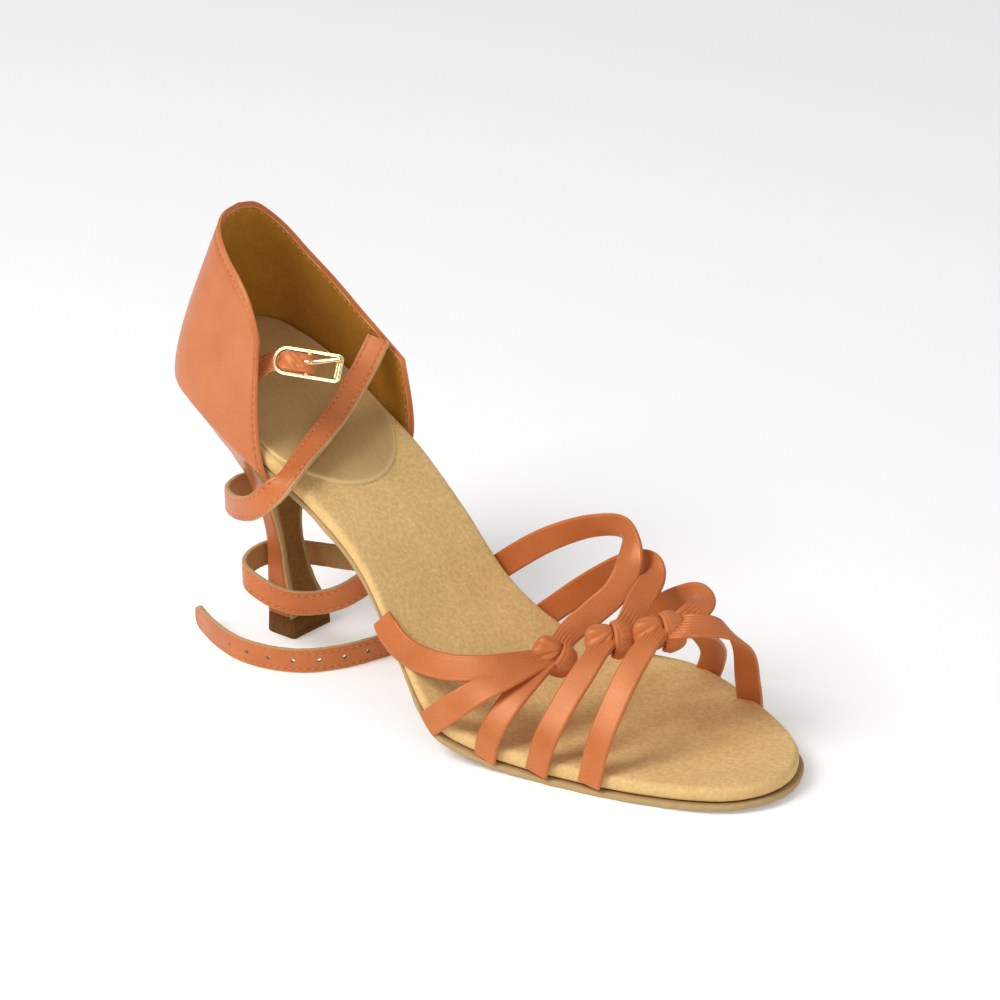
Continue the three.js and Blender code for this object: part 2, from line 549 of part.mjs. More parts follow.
function makeBuckleTab() {
  const half = EYE.width / 2;
  const ears = [eyeRing(EYE.outer, EYE.inner, -half, -EYE.slot), eyeRing(EYE.outer, EYE.inner, EYE.slot, half)];
  ears.forEach((ear) => ear.applyMatrix4(buckleFrame));
  const inFrame = (a, f, b = 0) => (
    vec(BAR).addScaledVector(along, a).addScaledVector(face, f).addScaledVector(up, b).toArray());
  const path = [TAB_START, inFrame(-13, -2.9, -1.2), inFrame(-7, -2.2), inFrame(-1.6, -0.9)];
  const strip = band(path, path.map((p, i) => (i === 0 ? [0, 0.1, 1] : up.toArray())), EYE.width, 1.5, 8);
  const bore = new THREE.CylinderGeometry(EYE.inner, EYE.inner, EYE.width + 4, 12).applyMatrix4(buckleFrame);
  const slot = new THREE.BoxGeometry(6.8, EYE.slot * 2, 8).translate(1, 0, 0).applyMatrix4(buckleFrame);
  return geometryFrom(solidOf(joined([...ears, strip])).subtract(solidOf(bore)).subtract(solidOf(slot)));
}

function makeBuckleFrame() {
  const rounded = (length, height, radius) => {
    const x = length / 2;
    const y = height / 2;
    const shape = new THREE.Shape();
    shape.absarc(x - radius, y - radius, radius, 0, Math.PI / 2);
    shape.absarc(-x + radius, y - radius, radius, Math.PI / 2, Math.PI);
    shape.absarc(-x + radius, -y + radius, radius, Math.PI, Math.PI * 1.5);
    shape.absarc(x - radius, -y + radius, radius, Math.PI * 1.5, Math.PI * 2);
    return shape;
  };
  const { length, height, wire, corner, bar, barFromEnd } = BUCKLE;
  const outline = rounded(length, height, corner);
  outline.holes.push(new THREE.Path(rounded(length - 2 * wire, height - 2 * wire, corner - wire).getPoints(4)));
  const ring = new THREE.ExtrudeGeometry(outline, { depth: wire, bevelEnabled: false, curveSegments: 4 });
  ring.translate(length / 2 - barFromEnd, 0, -wire / 2);
  const pin = new THREE.CylinderGeometry(bar / 2, bar / 2, height - wire, 12);
  return joined([ring, pin]).applyMatrix4(buckleFrame);
}

function makeBuckleProng() {
  const { width, inner, outer, needle, overhang } = PRONG;
  const ring = eyeRing(outer, inner, -width / 2, width / 2);
  const reach = BUCKLE.length - BUCKLE.barFromEnd + overhang;
  const lift = BUCKLE.wire / 2 + GAP;
  const shape = new THREE.Shape();
  shape.moveTo(1.2, 0.5);
  shape.lineTo(3.2, lift - 0.1);
  shape.lineTo(reach, lift);
  shape.lineTo(reach, lift + needle * 0.6);
  shape.lineTo(3.2, lift + needle - 0.1);
  shape.lineTo(0, outer - 0.1);
  const blade = new THREE.ExtrudeGeometry(shape, { depth: needle, bevelEnabled: false });
  blade.rotateX(Math.PI / 2);
  blade.translate(0, needle / 2, 0);
  return joined([ring, blade]).applyMatrix4(buckleFrame);
}

// Materials
const finish = (color, roughness, metalness = 0) => new THREE.MeshStandardMaterial({ color, roughness, metalness });
const satin = finish(0xe38f61, 0.38);
const suedeSole = finish(0xb08859, 0.95);
const suedeInsole = finish(0xd1a86d, 0.95);
const sockLeather = finish(0xb8935c, 0.8);
const rubberLift = finish(0x5e3a1a, 0.7);
const gold = finish(0xd9b36a, 0.25, 1);

const PIECES = [
  ['outsole', makeOutsole, suedeSole],
  ['insole', makeInsole, suedeInsole],
  ['heel_pad', makeHeelPad, sockLeather],
  ['heel', makeHeel, satin],
  ['top_lift', makeTopLift, rubberLift],
  ['counter', makeCounter, satin],
  ['vamp_straps', makeVampStraps, satin],
  ['ankle_strap', makeAnkleStrap, satin],
  ['buckle_tab', makeBuckleTab, satin],
  ['buckle_frame', makeBuckleFrame, gold],
  ['buckle_prong', makeBuckleProng, gold],
];

const shoe = new THREE.Group();
for (const [name, make, material] of PIECES) {
  const mesh = new THREE.Mesh(make(), material);
  mesh.name = name;
  shoe.add(mesh);
}
shoe.position.x = -HEEL_TIP_X;

export default shoe;
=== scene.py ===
"""The visible surfaces of a women's Latin dance sandal for the right foot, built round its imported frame.

Lengths are in millimetres and run along the shoe from the back of the heel seat, as in the last's
table. Each piece is moved and brought to metres when its mesh is made.
"""

import bmesh
import bpy
import numpy as np
from mathutils import Matrix, Vector


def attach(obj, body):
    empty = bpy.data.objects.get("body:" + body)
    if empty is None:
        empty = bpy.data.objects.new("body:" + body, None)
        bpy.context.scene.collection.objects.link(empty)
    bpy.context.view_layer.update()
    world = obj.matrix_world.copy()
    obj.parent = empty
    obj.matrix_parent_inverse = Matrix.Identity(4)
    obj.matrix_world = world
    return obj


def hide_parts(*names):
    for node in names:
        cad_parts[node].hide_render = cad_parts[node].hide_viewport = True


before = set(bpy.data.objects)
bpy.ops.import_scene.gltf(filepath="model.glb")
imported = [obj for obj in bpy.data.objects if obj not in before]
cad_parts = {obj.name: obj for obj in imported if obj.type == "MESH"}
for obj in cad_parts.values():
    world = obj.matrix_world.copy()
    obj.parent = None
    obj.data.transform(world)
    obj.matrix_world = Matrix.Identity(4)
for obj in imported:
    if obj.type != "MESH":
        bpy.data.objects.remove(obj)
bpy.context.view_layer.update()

SHIFT = np.array([-37.5, 0.0, 0.0])
MM = 0.001

# Driving sizes
HEEL_BACK, TOE_TIP = 1.5, 223.0
INSOLE_THICK, OUTSOLE_THICK, GAP = 4.5, 1.8, 0.3
UNDER_INSOLE = INSOLE_THICK + GAP
SOLE_DEPTH = UNDER_INSOLE + OUTSOLE_THICK
SEAT_THICK = SOLE_DEPTH - GAP
BREAST_X = 46.7
FLANGE = 1.2
WALL = 1.5
FLAP_THICK = 1.4
PAD_INSET, PAD_FRONT, PAD_ARC, PAD_TOP = 1.7, 74.0, 26.0, 0.95
STRAP_WIDTH, STRAP_THICK = 8.0, 1.7
ANKLE_WIDTH, ANKLE_THICK = 7.6, 1.4
STITCH_PITCH, STITCH_LONG, THREAD, FIRST_STITCH = 2.3, 1.6, 0.17, 0.8
CUP_ROW, CUP_RIM, LINING_EDGE = 2.7, 0.8, 1.25
EDGE_ROUND = 1.7
HEEL_COLUMNS, PAD_COLUMNS = 64, 120
TAB_WIDTH, TAB_THICK, TAB_ROW = 5.8, 1.3, 1.85

# The last: place along the shoe, centre line and half width in plan, height of the insole's top.
LAST = np.array([
    (1.5, 3.5, 0, 88.7), (8.5, 3.6, 18.8, 86.9), (18.9, 3.1, 24, 83.4), (33.1, 1.8, 25.9, 78.1),
    (52, -0.5, 25.5, 69.9), (70.9, -2.0, 24.4, 60.8), (89.8, -3.8, 23.5, 47.5), (108.7, -6.3, 26.2, 28.5),
    (127.6, -6.0, 33.1, 14.2), (141.8, 0.8, 37.6, 8.9), (155.9, 5.6, 39.2, 6.9), (170.1, 5.9, 36.7, 6.6),
    (184.3, 5.1, 32.5, 6.6), (198.5, 4.1, 27.0, 6.9), (208.9, 3.1, 21.5, 7.3), (216.4, 2.4, 15.6, 7.6),
    (223, 1.5, 0, 8.0),
])
HEEL_FULLNESS, TOE_FULLNESS = 0.465, 0.41

# The heel block, from the tip up: back x and z, breast x and z, half width, side shift of back and breast,
# how square the back is (2 is round), and the share of the section at which it is at full width.
HEEL = np.array([
    (31.7, 6.9, 43.4, 6.9, 8.1, 0, 0, 5, 0.5), (31.3, 9, 42.4, 9, 7.6, 0, 0, 5, 0.5),
    (30.2, 14.5, 40.4, 14.5, 6.1, 0, 0, 4.5, 0.5), (29.6, 20.5, 38.6, 20.5, 5.2, 0, 0, 4, 0.5),
    (29.6, 27.5, 37.3, 27, 4.9, 0, 0, 4, 0.5), (28.8, 35, 36.4, 33, 5.3, 0, 0, 4, 0.5),
    (26.4, 42.5, 36.1, 38.5, 6.6, 0.2, 0, 3.2, 0.5), (22, 51, 36.8, 44.5, 8.6, 0.6, 0, 2.4, 0.6),
    (15.4, 59.5, 38.6, 50.2, 12.6, 1.2, 0.1, 2, 0.75), (7.6, 69, 41.6, 55.8, 17.4, 2.2, 0.2, 2, 0.85),
    (1.4, 77, 44.6, 60, 22.2, 3, 0.2, 2, 0.9),
])

# The heel cup: foot x, topline x, y and z, how far the column bellies outward and sweeps forward.
CUP = {
    -1: np.array([
        (1.5, 16.9, 3, 132.3, 2.4, 0), (2.8, 17.7, -3.8, 131.6, 2.4, 0), (6.2, 20.8, -9.4, 129.6, 2.3, 0),
        (12, 25.6, -13.6, 127, 1.9, 0), (20, 31.8, -17.2, 123.6, 1.4, 0), (30, 38.5, -20, 120, 1.1, 0),
        (40, 44, -22.2, 115.5, 0.8, -0.6), (48, 47.8, -23.7, 109.5, 0.7, -1.6),
        (55.3, 49.7, -24.9, 104, 0.5, -2.6),
    ]),
    1: np.array([
        (1.5, 16.9, 3, 132.3, 2.4, 0), (2.8, 17.7, 9.5, 130.9, 2.4, 0), (6.2, 19.8, 13.8, 127.4, 2.3, 0),
        (12, 23.3, 17.9, 121.8, 1.9, 0), (20, 28.5, 20.9, 114.8, 1.4, 0), (30, 36.6, 23.1, 107.2, 1.1, 0),
        (40, 45, 24.7, 99.2, 0.8, 0.4), (50, 53.6, 25.9, 91.8, 0.7, 1.0),
        (63.3, 61.2, 26.7, 85.4, 0.5, 1.8),
    ]),
}

# The knots, on the line where the outer and inner legs meet: place, size, and turn in the picture's plane.
KNOTS = {
    "rear": ((150, -10.5, 27.5), 0.86, -32),
    "middle": ((164, -2, 33.8), 0.94, 4),
    "front": ((176.6, 5.2, 37.2), 1.0, 8),
}

# The legs of the upper. A row is a place on the strap's middle and the direction of its width there.
# An outer leg ends in its knot and an inner leg starts there.
FOLD_UNDER = [(-1, 0, 0.1), (-1, 0, 0.2), (-1, 0, 0.2), (-1, 0, 0.2), (-1, 0, 0), (-1, 0, 0)]
LEGS = {
    "outer_1": [
        ((101.2, -30.5, 32.7), (0.15, 0.2, 0.95)), ((104.4, -31.3, 29.9), (0, 0.4, 0.9)),
        ((112.5, -33, 26.6), (0, 0.5, 0.87)), ((127.5, -33.2, 26.2), (0, 0.5, 0.87)),
        ((140, -28.5, 27.6), (-0.3, 0.5, 0.8)), ((146.5, -19, 28), (-0.7, 0.4, 0.5)),
        ((150, -10.5, 27.5), (-0.8, 0.3, 0.3)),
    ],
    "outer_2": [
        ((127, -40.4, 10.3), (-0.85, 0, 0.5)), ((134.5, -39.2, 17), (-0.8, 0, 0.6)),
        ((141, -33.8, 22.6), (-0.8, 0.1, 0.5)), ((145.5, -26, 25.6), (-0.85, 0.2, 0.3)),
        ((148.5, -17, 26.8), (-0.95, 0.1, 0)), ((150, -10.5, 26.8), (-1, 0, 0)),
    ],
    "outer_3": list(zip([
        (145.5, -36.9, 3.8), (146.6, -36.1, 10.5), (148.4, -31.5, 17.6), (149.6, -24.5, 23),
        (150, -17, 26), (150, -10.5, 27)], FOLD_UNDER)),
    "outer_4": list(zip([
        (162, -33.6, 3.2), (163.6, -31.7, 12.6), (165, -25.5, 21.4), (165.4, -17, 28.6),
        (165, -9, 33.2), (164, -2, 34.6)], FOLD_UNDER)),
    "outer_5": list(zip([
        (178.5, -30, 3.2), (179.4, -27, 14.2), (179.6, -20, 24.4), (179, -11, 32.8),
        (178.4, -2.5, 37.6), (177.5, 6, 39)], FOLD_UNDER)),
    "inner_1": [
        ((150, -10.5, 27.5), (-1, 0, 0)), ((146.8, -1, 30), (-0.9, -0.1, 0.3)),
        ((149.2, 7.6, 34.6), (-0.75, -0.25, 0.6)), ((152.8, 13.6, 40), (-0.75, -0.3, 0.45)),
        ((153.2, 19, 46.4), (-0.8, -0.4, 0.05)), ((148.6, 25, 51), (-0.6, -0.1, -0.6)),
        ((142.5, 29, 52.2), (-0.3, 0.2, -0.9)), ((130, 29.6, 48.8), (0, 0.3, -0.95)),
        ((115.6, 26.4, 41.4), (0.3, 0.2, -0.9)), ((102.8, 21.4, 31.6), (0.5, 0, -0.8)),
        ((98.2, 20.9, 27.4), (0.5, 0, -0.8)),
    ],
    "inner_2": [
        ((164, -2, 34.6), (-1, 0, 0)), ((163.4, 6, 35.6), (-0.85, -0.3, 0.4)),
        ((161.4, 14, 39.6), (-0.78, -0.39, 0.5)), ((160.2, 21, 43.6), (-0.85, -0.4, 0.1)),
        ((155.4, 26, 44.8), (-0.6, -0.1, -0.6)), ((146, 28.8, 41.6), (-0.3, 0.3, -0.9)),
        ((133, 29.8, 32.8), (0, 0.3, -0.95)), ((119.6, 26.4, 21), (0.4, 0, -0.9)),
        ((114.4, 24.4, 16.2), (0.5, 0, -0.9)),
    ],
    "inner_3": [
        ((177.5, 6, 37.6), (-1, 0, 0)), ((180.6, 12, 40.6), (-0.8, 0, 0.5)),
        ((181, 18, 42.4), (-0.8, -0.2, 0.1)), ((176, 23, 41.8), (-0.6, 0.1, -0.6)),
        ((165.4, 28.6, 36.4), (-0.1, 0.4, -0.9)), ((152.6, 33.6, 26.6), (0.2, 0.3, -0.9)),
        ((140.6, 37.2, 9), (0.6, 0, -0.6)),
    ],
    "inner_4": [
        ((177.5, 6, 37.2), (-1, 0, 0)), ((178.6, 15, 35), (-1, 0, 0)),
        ((176.4, 25, 28), (-0.9, -0.2, -0.2)), ((171.6, 35, 19), (-0.9, -0.3, -0.2)),
        ((165, 42.6, 10), (-1, -0.3, 0)), ((161, 45.2, 3.4), (-1, -0.3, 0)),
    ],
    "inner_5": [
        ((177.5, 6, 38), (-0.4, 0.8, 0.2)), ((185, 8.6, 40.6), (-0.5, 0.8, 0.3)),
        ((191, 14.6, 39.2), (-0.8, 0.4, 0.4)), ((192.4, 22, 31.4), (-1, 0, 0.1)),
        ((187.6, 31, 15.4), (-1, -0.3, 0)), ((183, 38, 3.4), (-1, -0.4, 0)),
    ],
}
PLEAT_PITCH, PLEAT_HIGH = 1.15, 0.14

# The ankle strap: from the inner quarter, over the footbed, round the heel twice, and to the floor.
ANKLE_PATH = [
    (53.8, 23, 91), (54.6, 15, 84), (57, 3, 77.2), (60.6, -11, 72.8), (63, -22, 69.4), (63.6, -29.6, 65.6),
    (59.4, -32.6, 60.6), (53, -33.2, 55.4), (44.6, -31, 52.4), (35, -25, 50.4), (27.2, -14.5, 47.4),
    (20.6, -3, 43.4),
    (19.4, 7, 41), (23.6, 16, 39.4), (32, 21.5, 38), (45, 22.4, 36), (57, 18, 33.4), (66, 10, 29.6),
    (68.4, 2, 25.6),
    (63.6, -5.6, 20.2), (57.6, -11, 17.8), (50, -16, 17.6), (42.4, -18.4, 19.6), (34.6, -18.4, 22.4),
    (29.6, -13, 22.6), (27, -4.6, 22.2), (27.4, 3.6, 21.2), (30.4, 9.4, 19.4), (36.6, 12.4, 19.2),
    (45.4, 13, 20.4),
    (54.6, 11.6, 22.8), (64, 11, 23.6), (72.4, 12, 20.4), (77.4, 13, 13.4), (77.4, 12, 7),
    (74.6, 7, 4.1),
    (72.4, -2, 4), (68.4, -13.4, 4), (61.6, -22.6, 4), (52, -27.4, 4), (40.4, -28.6, 4), (27.6, -25.4, 4),
    (13.6, -19, 4),
]
ANKLE_SIDE = [
    (0.9, 0, -0.43), (0.94, 0, -0.34), (0.96, 0, -0.28), (0.97, 0, -0.22), (1, 0, 0), (1, 0, 0),
    (0.9, 0, -0.4), (0.6, 0, -0.8), (0.2, 0, -1),
]
PUNCH_RADIUS, PUNCHED_FROM_TIP = 0.75, (24.9, 32.4, 40, 47.8, 55.6, 63.4, 71.2)

# The buckle: its bar's middle, its directions down the tab, along the bar and out of the shoe, its sizes.
BAR = np.array([63, -17.6, 98.4])
TAB_START = np.array([45.4, -22.2, 92.6])
ALONG = np.array([0.94, 0.33, -0.03]) / np.linalg.norm([0.94, 0.33, -0.03])
UP = np.array([-0.135, 0.476, 0.87])
UP = UP - (UP @ ALONG) * ALONG
UP = UP / np.linalg.norm(UP)
FACE = np.cross(ALONG, UP)
BUCKLE_LONG, BUCKLE_HIGH, WIRE, BAR_FROM_END = 21.8, 8.6, 1.1, 11.0


# Number tools
def unit(v):
    """Each vector divided by its length."""
    return v / np.maximum(np.linalg.norm(v, axis=-1, keepdims=True), 1e-9)


def smoothstep(x, low, high):
    """0 below low, 1 above high, and 3t^2 - 2t^3 between them."""
    t = np.clip((np.asarray(x, float) - low) / (high - low), 0, 1)
    return t * t * (3 - 2 * t)


def bell(x, middle, spread):
    """A bell curve of height one: e to the minus square of the distance from the middle over the spread."""
    return np.exp(-(((x - middle) / spread) ** 2))


def spline(keys, values):
    """A cubic on each span; the slope at a key is that from the key before to the key after."""
    keys, values = np.asarray(keys, float), np.asarray(values, float)
    flat = values.reshape(len(keys), -1)
    n = len(keys)
    low, high = np.maximum(np.arange(n) - 1, 0), np.minimum(np.arange(n) + 1, n - 1)
    slope = (flat[high] - flat[low]) / (keys[high] - keys[low])[:, None]

    def at(x):
        x = np.asarray(x, float)
        i = np.clip(np.searchsorted(keys, x) - 1, 0, n - 2).ravel()
        span = (keys[i + 1] - keys[i])[:, None]
        t = (x.ravel() - keys[i])[:, None] / span
        a = (2 * t**3 - 3 * t**2 + 1) * flat[i] + (t**3 - 2 * t**2 + t) * span * slope[i]
        b = (3 * t**2 - 2 * t**3) * flat[i + 1] + (t**3 - t**2) * span * slope[i + 1]
        return (a + b).reshape(x.shape + values.shape[1:])

    return at


def catmull(points, t, even=False):
    """A curve through the points, t from 0 to 1 by their count. On each span it is the cubic whose end
    slopes come from the four points round it, spaced by the root of their distances, or evenly."""
    p = np.asarray(points, float)
    p = np.vstack([2 * p[0] - p[1], p, 2 * p[-1] - p[-2]])
    s = np.clip(np.asarray(t, float) * (len(p) - 3), 0, len(p) - 3)
    i = np.minimum(s.astype(int), len(p) - 4)
    w = (s - i)[:, None]
    p0, p1, p2, p3 = (p[i + k] for k in range(4))
    if even:
        m1, m2 = (p2 - p0) / 2, (p3 - p1) / 2
    else:
        pairs = ((p0, p1), (p1, p2), (p2, p3))
        d0, d1, d2 = (np.linalg.norm(b - a, axis=1)[:, None] ** 0.5 for a, b in pairs)
        m1 = d1 * ((p1 - p0) / d0 - (p2 - p0) / (d0 + d1) + (p2 - p1) / d1)
        m2 = d1 * ((p2 - p1) / d1 - (p3 - p1) / (d1 + d2) + (p3 - p2) / d2)
    return ((2 * w**3 - 3 * w**2 + 1) * p1 + (w**3 - 2 * w**2 + w) * m1
            + (3 * w**2 - 2 * w**3) * p2 + (w**3 - w**2) * m2)


def lengths(points):
    """The length along the points, from the first one."""
    return np.concatenate([[0], np.cumsum(np.linalg.norm(np.diff(points, axis=0), axis=1))])


def at_length(values, s, wanted):
    """The values, known at lengths s, read off in a straight line between them at the wanted lengths."""
    wanted = np.asarray(wanted, float)
    flat = [np.interp(wanted, s, values[:, k]) for k in range(values.shape[1])]
    return np.stack(flat, -1)


def wobble(count, seed, step):
    """A smooth seeded line of noise about zero: random numbers every few steps, joined by a cubic."""
    knots = max(count // step, 4)
    numbers = np.random.default_rng(seed).uniform(-1, 1, knots)
    return spline(np.arange(knots), numbers)(np.linspace(0, knots - 1, count))


# The last
ROUND_ENDS = np.sqrt(np.maximum((LAST[:, 0] - HEEL_BACK) * (TOE_TIP - LAST[:, 0]), 1e-9))
FULL = LAST[:, 2] / ROUND_ENDS
FULL[0], FULL[-1] = HEEL_FULLNESS, TOE_FULLNESS
fullness = spline(LAST[:, 0], FULL)
centre_at = spline(LAST[:, 0], LAST[:, 1])
top_at = spline(LAST[:, 0], LAST[:, 3])


def half_at(x):
    """Half the last's width: its fullness times the root of the distances to the heel and to the toe."""
    return fullness(x) * np.sqrt(np.maximum((x - HEEL_BACK) * (TOE_TIP - x), 0))


def edge(x, side, grow):
    """The last's edge in plan at x, outer side (-1) or inner side (+1), moved out square to itself."""
    x = np.asarray(x, float)
    a, b = np.maximum(x - 0.02, HEEL_BACK), np.minimum(x + 0.02, TOE_TIP)
    run = unit(np.stack([b - a, centre_at(b) + side * half_at(b) - centre_at(a) - side * half_at(a)], -1))
    out = np.stack([-side * run[..., 1], side * run[..., 0]], -1)
    out = np.where((x <= HEEL_BACK)[..., None], [-1.0, 0.0], out)
    out = np.where((x >= TOE_TIP)[..., None], [1.0, 0.0], out)
    return np.stack([x, centre_at(x) + side * half_at(x)], -1) + out * np.asarray(grow, float)[..., None]


def stations(start, end, count):
    """Places along the shoe, closer together at both ends by a cosine."""
    x = HEEL_BACK + (TOE_TIP - HEEL_BACK) * (1 - np.cos(np.pi * np.arange(count + 1) / count)) / 2
    return np.concatenate([[start], x[(x > start + 0.3) & (x < end - 0.3)], [end]])


# Meshes
def grid(points, uv=None, finish=0, **marks):
    """The quads of a grid of points, rows by columns, with UV in millimetres and marks on its points."""
    rows, columns = points.shape[:2]
    r, c = np.meshgrid(np.arange(rows - 1), np.arange(columns - 1), indexing="ij")
    first = r * columns + c
    faces = np.stack([first, first + columns, first + columns + 1, first + 1], -1).reshape(-1, 4)
    uv = points[..., :2] if uv is None else uv
    return {
        "points": points.reshape(-1, 3), "faces": faces, "uv": np.asarray(uv, float).reshape(-1, 2),
        "finish": np.broadcast_to(finish, (rows - 1, columns - 1)).reshape(-1),
        "marks": {k: np.broadcast_to(v, (rows, columns)).reshape(-1) for k, v in marks.items()},
    }


def copies(points):
    """The quads of many small grids of the same size, numbered one after another."""
    number, rows, columns = points.shape[:3]
    one = grid(points[0])["faces"]
    faces = (one[None] + (np.arange(number) * rows * columns)[:, None, None]).reshape(-1, 4)
    flat = points.reshape(-1, 3)
    return {"points": flat, "faces": faces, "uv": flat[:, :2], "marks": {},
            "finish": np.zeros(len(faces), int)}


def make_piece(name, patches, finishes, body="shoe", stands_for=(), sharp=50):
    """One mesh from its patches: points at the same place are merged, and all faces are turned outward."""
    points = np.concatenate([p["points"] for p in patches])
    starts = np.cumsum([0] + [len(p["points"]) for p in patches[:-1]])
    faces = np.concatenate([p["faces"] + s for p, s in zip(patches, starts)])
    uv = np.concatenate([p["uv"] for p in patches])
    mesh = bpy.data.meshes.new(name)
    mesh.vertices.add(len(points))
    mesh.vertices.foreach_set("co", ((points + SHIFT) * MM).astype(np.float32).ravel())
    mesh.loops.add(faces.size)
    mesh.loops.foreach_set("vertex_index", faces.astype(np.int32).ravel())
    mesh.polygons.add(len(faces))
    mesh.polygons.foreach_set("loop_start", np.arange(0, faces.size, 4, dtype=np.int32))
    finish_of = np.concatenate([p["finish"] for p in patches])
    mesh.polygons.foreach_set("material_index", finish_of.astype(np.int32))
    mesh.update(calc_edges=True)
    in_centimetres = (uv[faces.ravel()] * 0.1).astype(np.float32)
    mesh.uv_layers.new(name="UVMap").data.foreach_set("uv", in_centimetres.ravel())
    for mark in sorted({m for p in patches for m in p["marks"]}):
        values = np.concatenate([p["marks"].get(mark, np.zeros(len(p["points"]))) for p in patches])
        mesh.attributes.new(mark, "FLOAT", "POINT").data.foreach_set("value", values.astype(np.float32))
    shell = bmesh.new()
    shell.from_mesh(mesh)
    bmesh.ops.remove_doubles(shell, verts=shell.verts, dist=3e-6)
    bmesh.ops.recalc_face_normals(shell, faces=shell.faces)
    shell.to_mesh(mesh)
    shell.free()
    mesh.polygons.foreach_set("use_smooth", np.ones(len(mesh.polygons), bool))
    mesh.set_sharp_from_angle(angle=np.radians(sharp))
    made = bpy.data.objects.new(name, mesh)
    bpy.context.scene.collection.objects.link(made)
    for finish in finishes:
        mesh.materials.append(finish)
    if stands_for:
        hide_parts(*stands_for)
    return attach(made, body)


# Material tools
class Finish:
    """A material with its main shader and short ways to put noise, mixes and bump before it."""

    def __init__(self, name, roughness=0.5, metallic=0.0, sheen=0.0, sheen_tint=(1, 1, 1), specular=0.5):
        self.material = bpy.data.materials.new(name)
        self.material.use_nodes = True
        self.tree = self.material.node_tree
        self.shader = self.tree.nodes["Principled BSDF"]
        self.set(self.shader, "Roughness", roughness)
        self.set(self.shader, "Metallic", metallic)
        self.set(self.shader, "Specular IOR Level", specular)
        self.set(self.shader, "Sheen Weight", sheen)
        self.set(self.shader, "Sheen Roughness", 0.4)
        self.shader.inputs["Sheen Tint"].default_value = (*sheen_tint, 1)
        self.where = self.tree.nodes.new("ShaderNodeTexCoord")

    def set(self, node, socket, value):
        """A node's socket is linked to another socket, or given a plain value."""
        if isinstance(value, bpy.types.NodeSocket):
            self.tree.links.new(value, node.inputs[socket])
        else:
            node.inputs[socket].default_value = value

    def coords(self, kind="Object", stretch=(1, 1, 1), turn=(0, 0, 0)):
        """The piece's own coordinates, or its UV, turned and stretched."""
        node = self.tree.nodes.new("ShaderNodeMapping")
        self.set(node, "Vector", self.where.outputs[kind])
        self.set(node, "Scale", stretch)
        self.set(node, "Rotation", turn)
        return node.outputs["Vector"]

    def noise(self, vector, scale, detail=3.0, rough=0.5):
        """Soft noise of the given scale, from 0 to 1."""
        node = self.tree.nodes.new("ShaderNodeTexNoise")
        self.set(node, "Vector", vector)
        for socket, value in (("Scale", scale), ("Detail", detail), ("Roughness", rough)):
            self.set(node, socket, value)
        return node.outputs["Fac"]

    def ridges(self, vector, scale, distortion=0.0):
        """Even ridges across one direction, from 0 to 1."""
        node = self.tree.nodes.new("ShaderNodeTexWave")
        self.set(node, "Vector", vector)
        self.set(node, "Scale", scale)
        self.set(node, "Distortion", distortion)
        return node.outputs["Fac"]

    def math(self, kind, a, b=0.0):
        """One sum of two values."""
        node = self.tree.nodes.new("ShaderNodeMath")
        node.operation = kind
        self.set(node, 0, a)
        self.set(node, 1, b)
        return node.outputs[0]

    def spread(self, value, low, high, to_low=0.0, to_high=1.0):
        """A value between low and high, moved in a straight line to between to_low and to_high."""
        node = self.tree.nodes.new("ShaderNodeMapRange")
        sockets = {"From Min": low, "From Max": high, "To Min": to_low, "To Max": to_high}
        for socket, number in sockets.items():
            self.set(node, socket, number)
        self.set(node, "Value", value)
        return node.outputs["Result"]

    def mark(self, name):
        """The number that a piece's points carry under a name."""
        node = self.tree.nodes.new("ShaderNodeAttribute")
        node.attribute_name = name
        return node.outputs["Fac"]

    def mix(self, factor, a, b):
        """A colour between a at 0 and b at 1."""
        node = self.tree.nodes.new("ShaderNodeMix")
        node.data_type = "RGBA"
        self.set(node, 0, factor)
        for place, value in ((6, a), (7, b)):
            self.set(node, place, value if isinstance(value, bpy.types.NodeSocket) else (*value, 1))
        return node.outputs[2]

    def bump(self, height, strength, distance, before=None):
        """A relief of the given depth in millimetres."""
        node = self.tree.nodes.new("ShaderNodeBump")
        self.set(node, "Height", height)
        self.set(node, "Strength", strength)
        self.set(node, "Distance", distance * MM)
        if before is not None:
            self.set(node, "Normal", before)
        return node.outputs["Normal"]

    def done(self, colour, normal=None, roughness=None):
        """The material, once its shader has its inputs."""
        self.set(self.shader, "Base Color", colour)
        if normal is not None:
            self.set(self.shader, "Normal", normal)
        if roughness is not None:
            self.set(self.shader, "Roughness", roughness)
        return self.material


def satin(name, light, dark, twill=0.5):
    """Satin: long floats as noise stretched along the piece, a fine diagonal twill, slow changes of tone,
    and painted shade that darkens the needle holes and stitch grooves where the piece is marked."""
    f = Finish(name, roughness=0.34, sheen=0.05, sheen_tint=(1, 0.7, 0.5), specular=0.7)
    f.shader.inputs["Specular Tint"].default_value = (1.0, 0.6, 0.36, 1)
    floats = f.noise(f.coords("UV", (34, 12, 1)), 1.0, 2.0)
    diagonal = f.ridges(f.coords("UV", (1, 1, 1), (0, 0, 0.9)), 5.5, 1.5)
    slow = f.noise(f.coords("Object"), 70.0, 2.0)
    cloth = f.math("ADD", f.math("MULTIPLY", floats, 0.6), f.math("MULTIPLY", diagonal, twill * 0.4))
    tone = f.math("ADD", f.spread(slow, 0.3, 0.7, 0.0, 0.4), f.spread(cloth, 0.25, 0.65, 0.0, 0.6))
    colour = f.mix(tone, dark, light)
    # Painted shade: at the needle holes and stitch grooves the satin is darkened to a deep brown.
    colour = f.mix(f.mark("hole"), colour, (0.16, 0.045, 0.015))
    normal = f.bump(cloth, 0.6, 0.08)
    return f.done(colour, normal, f.spread(cloth, 0.2, 0.8, 0.4, 0.28))


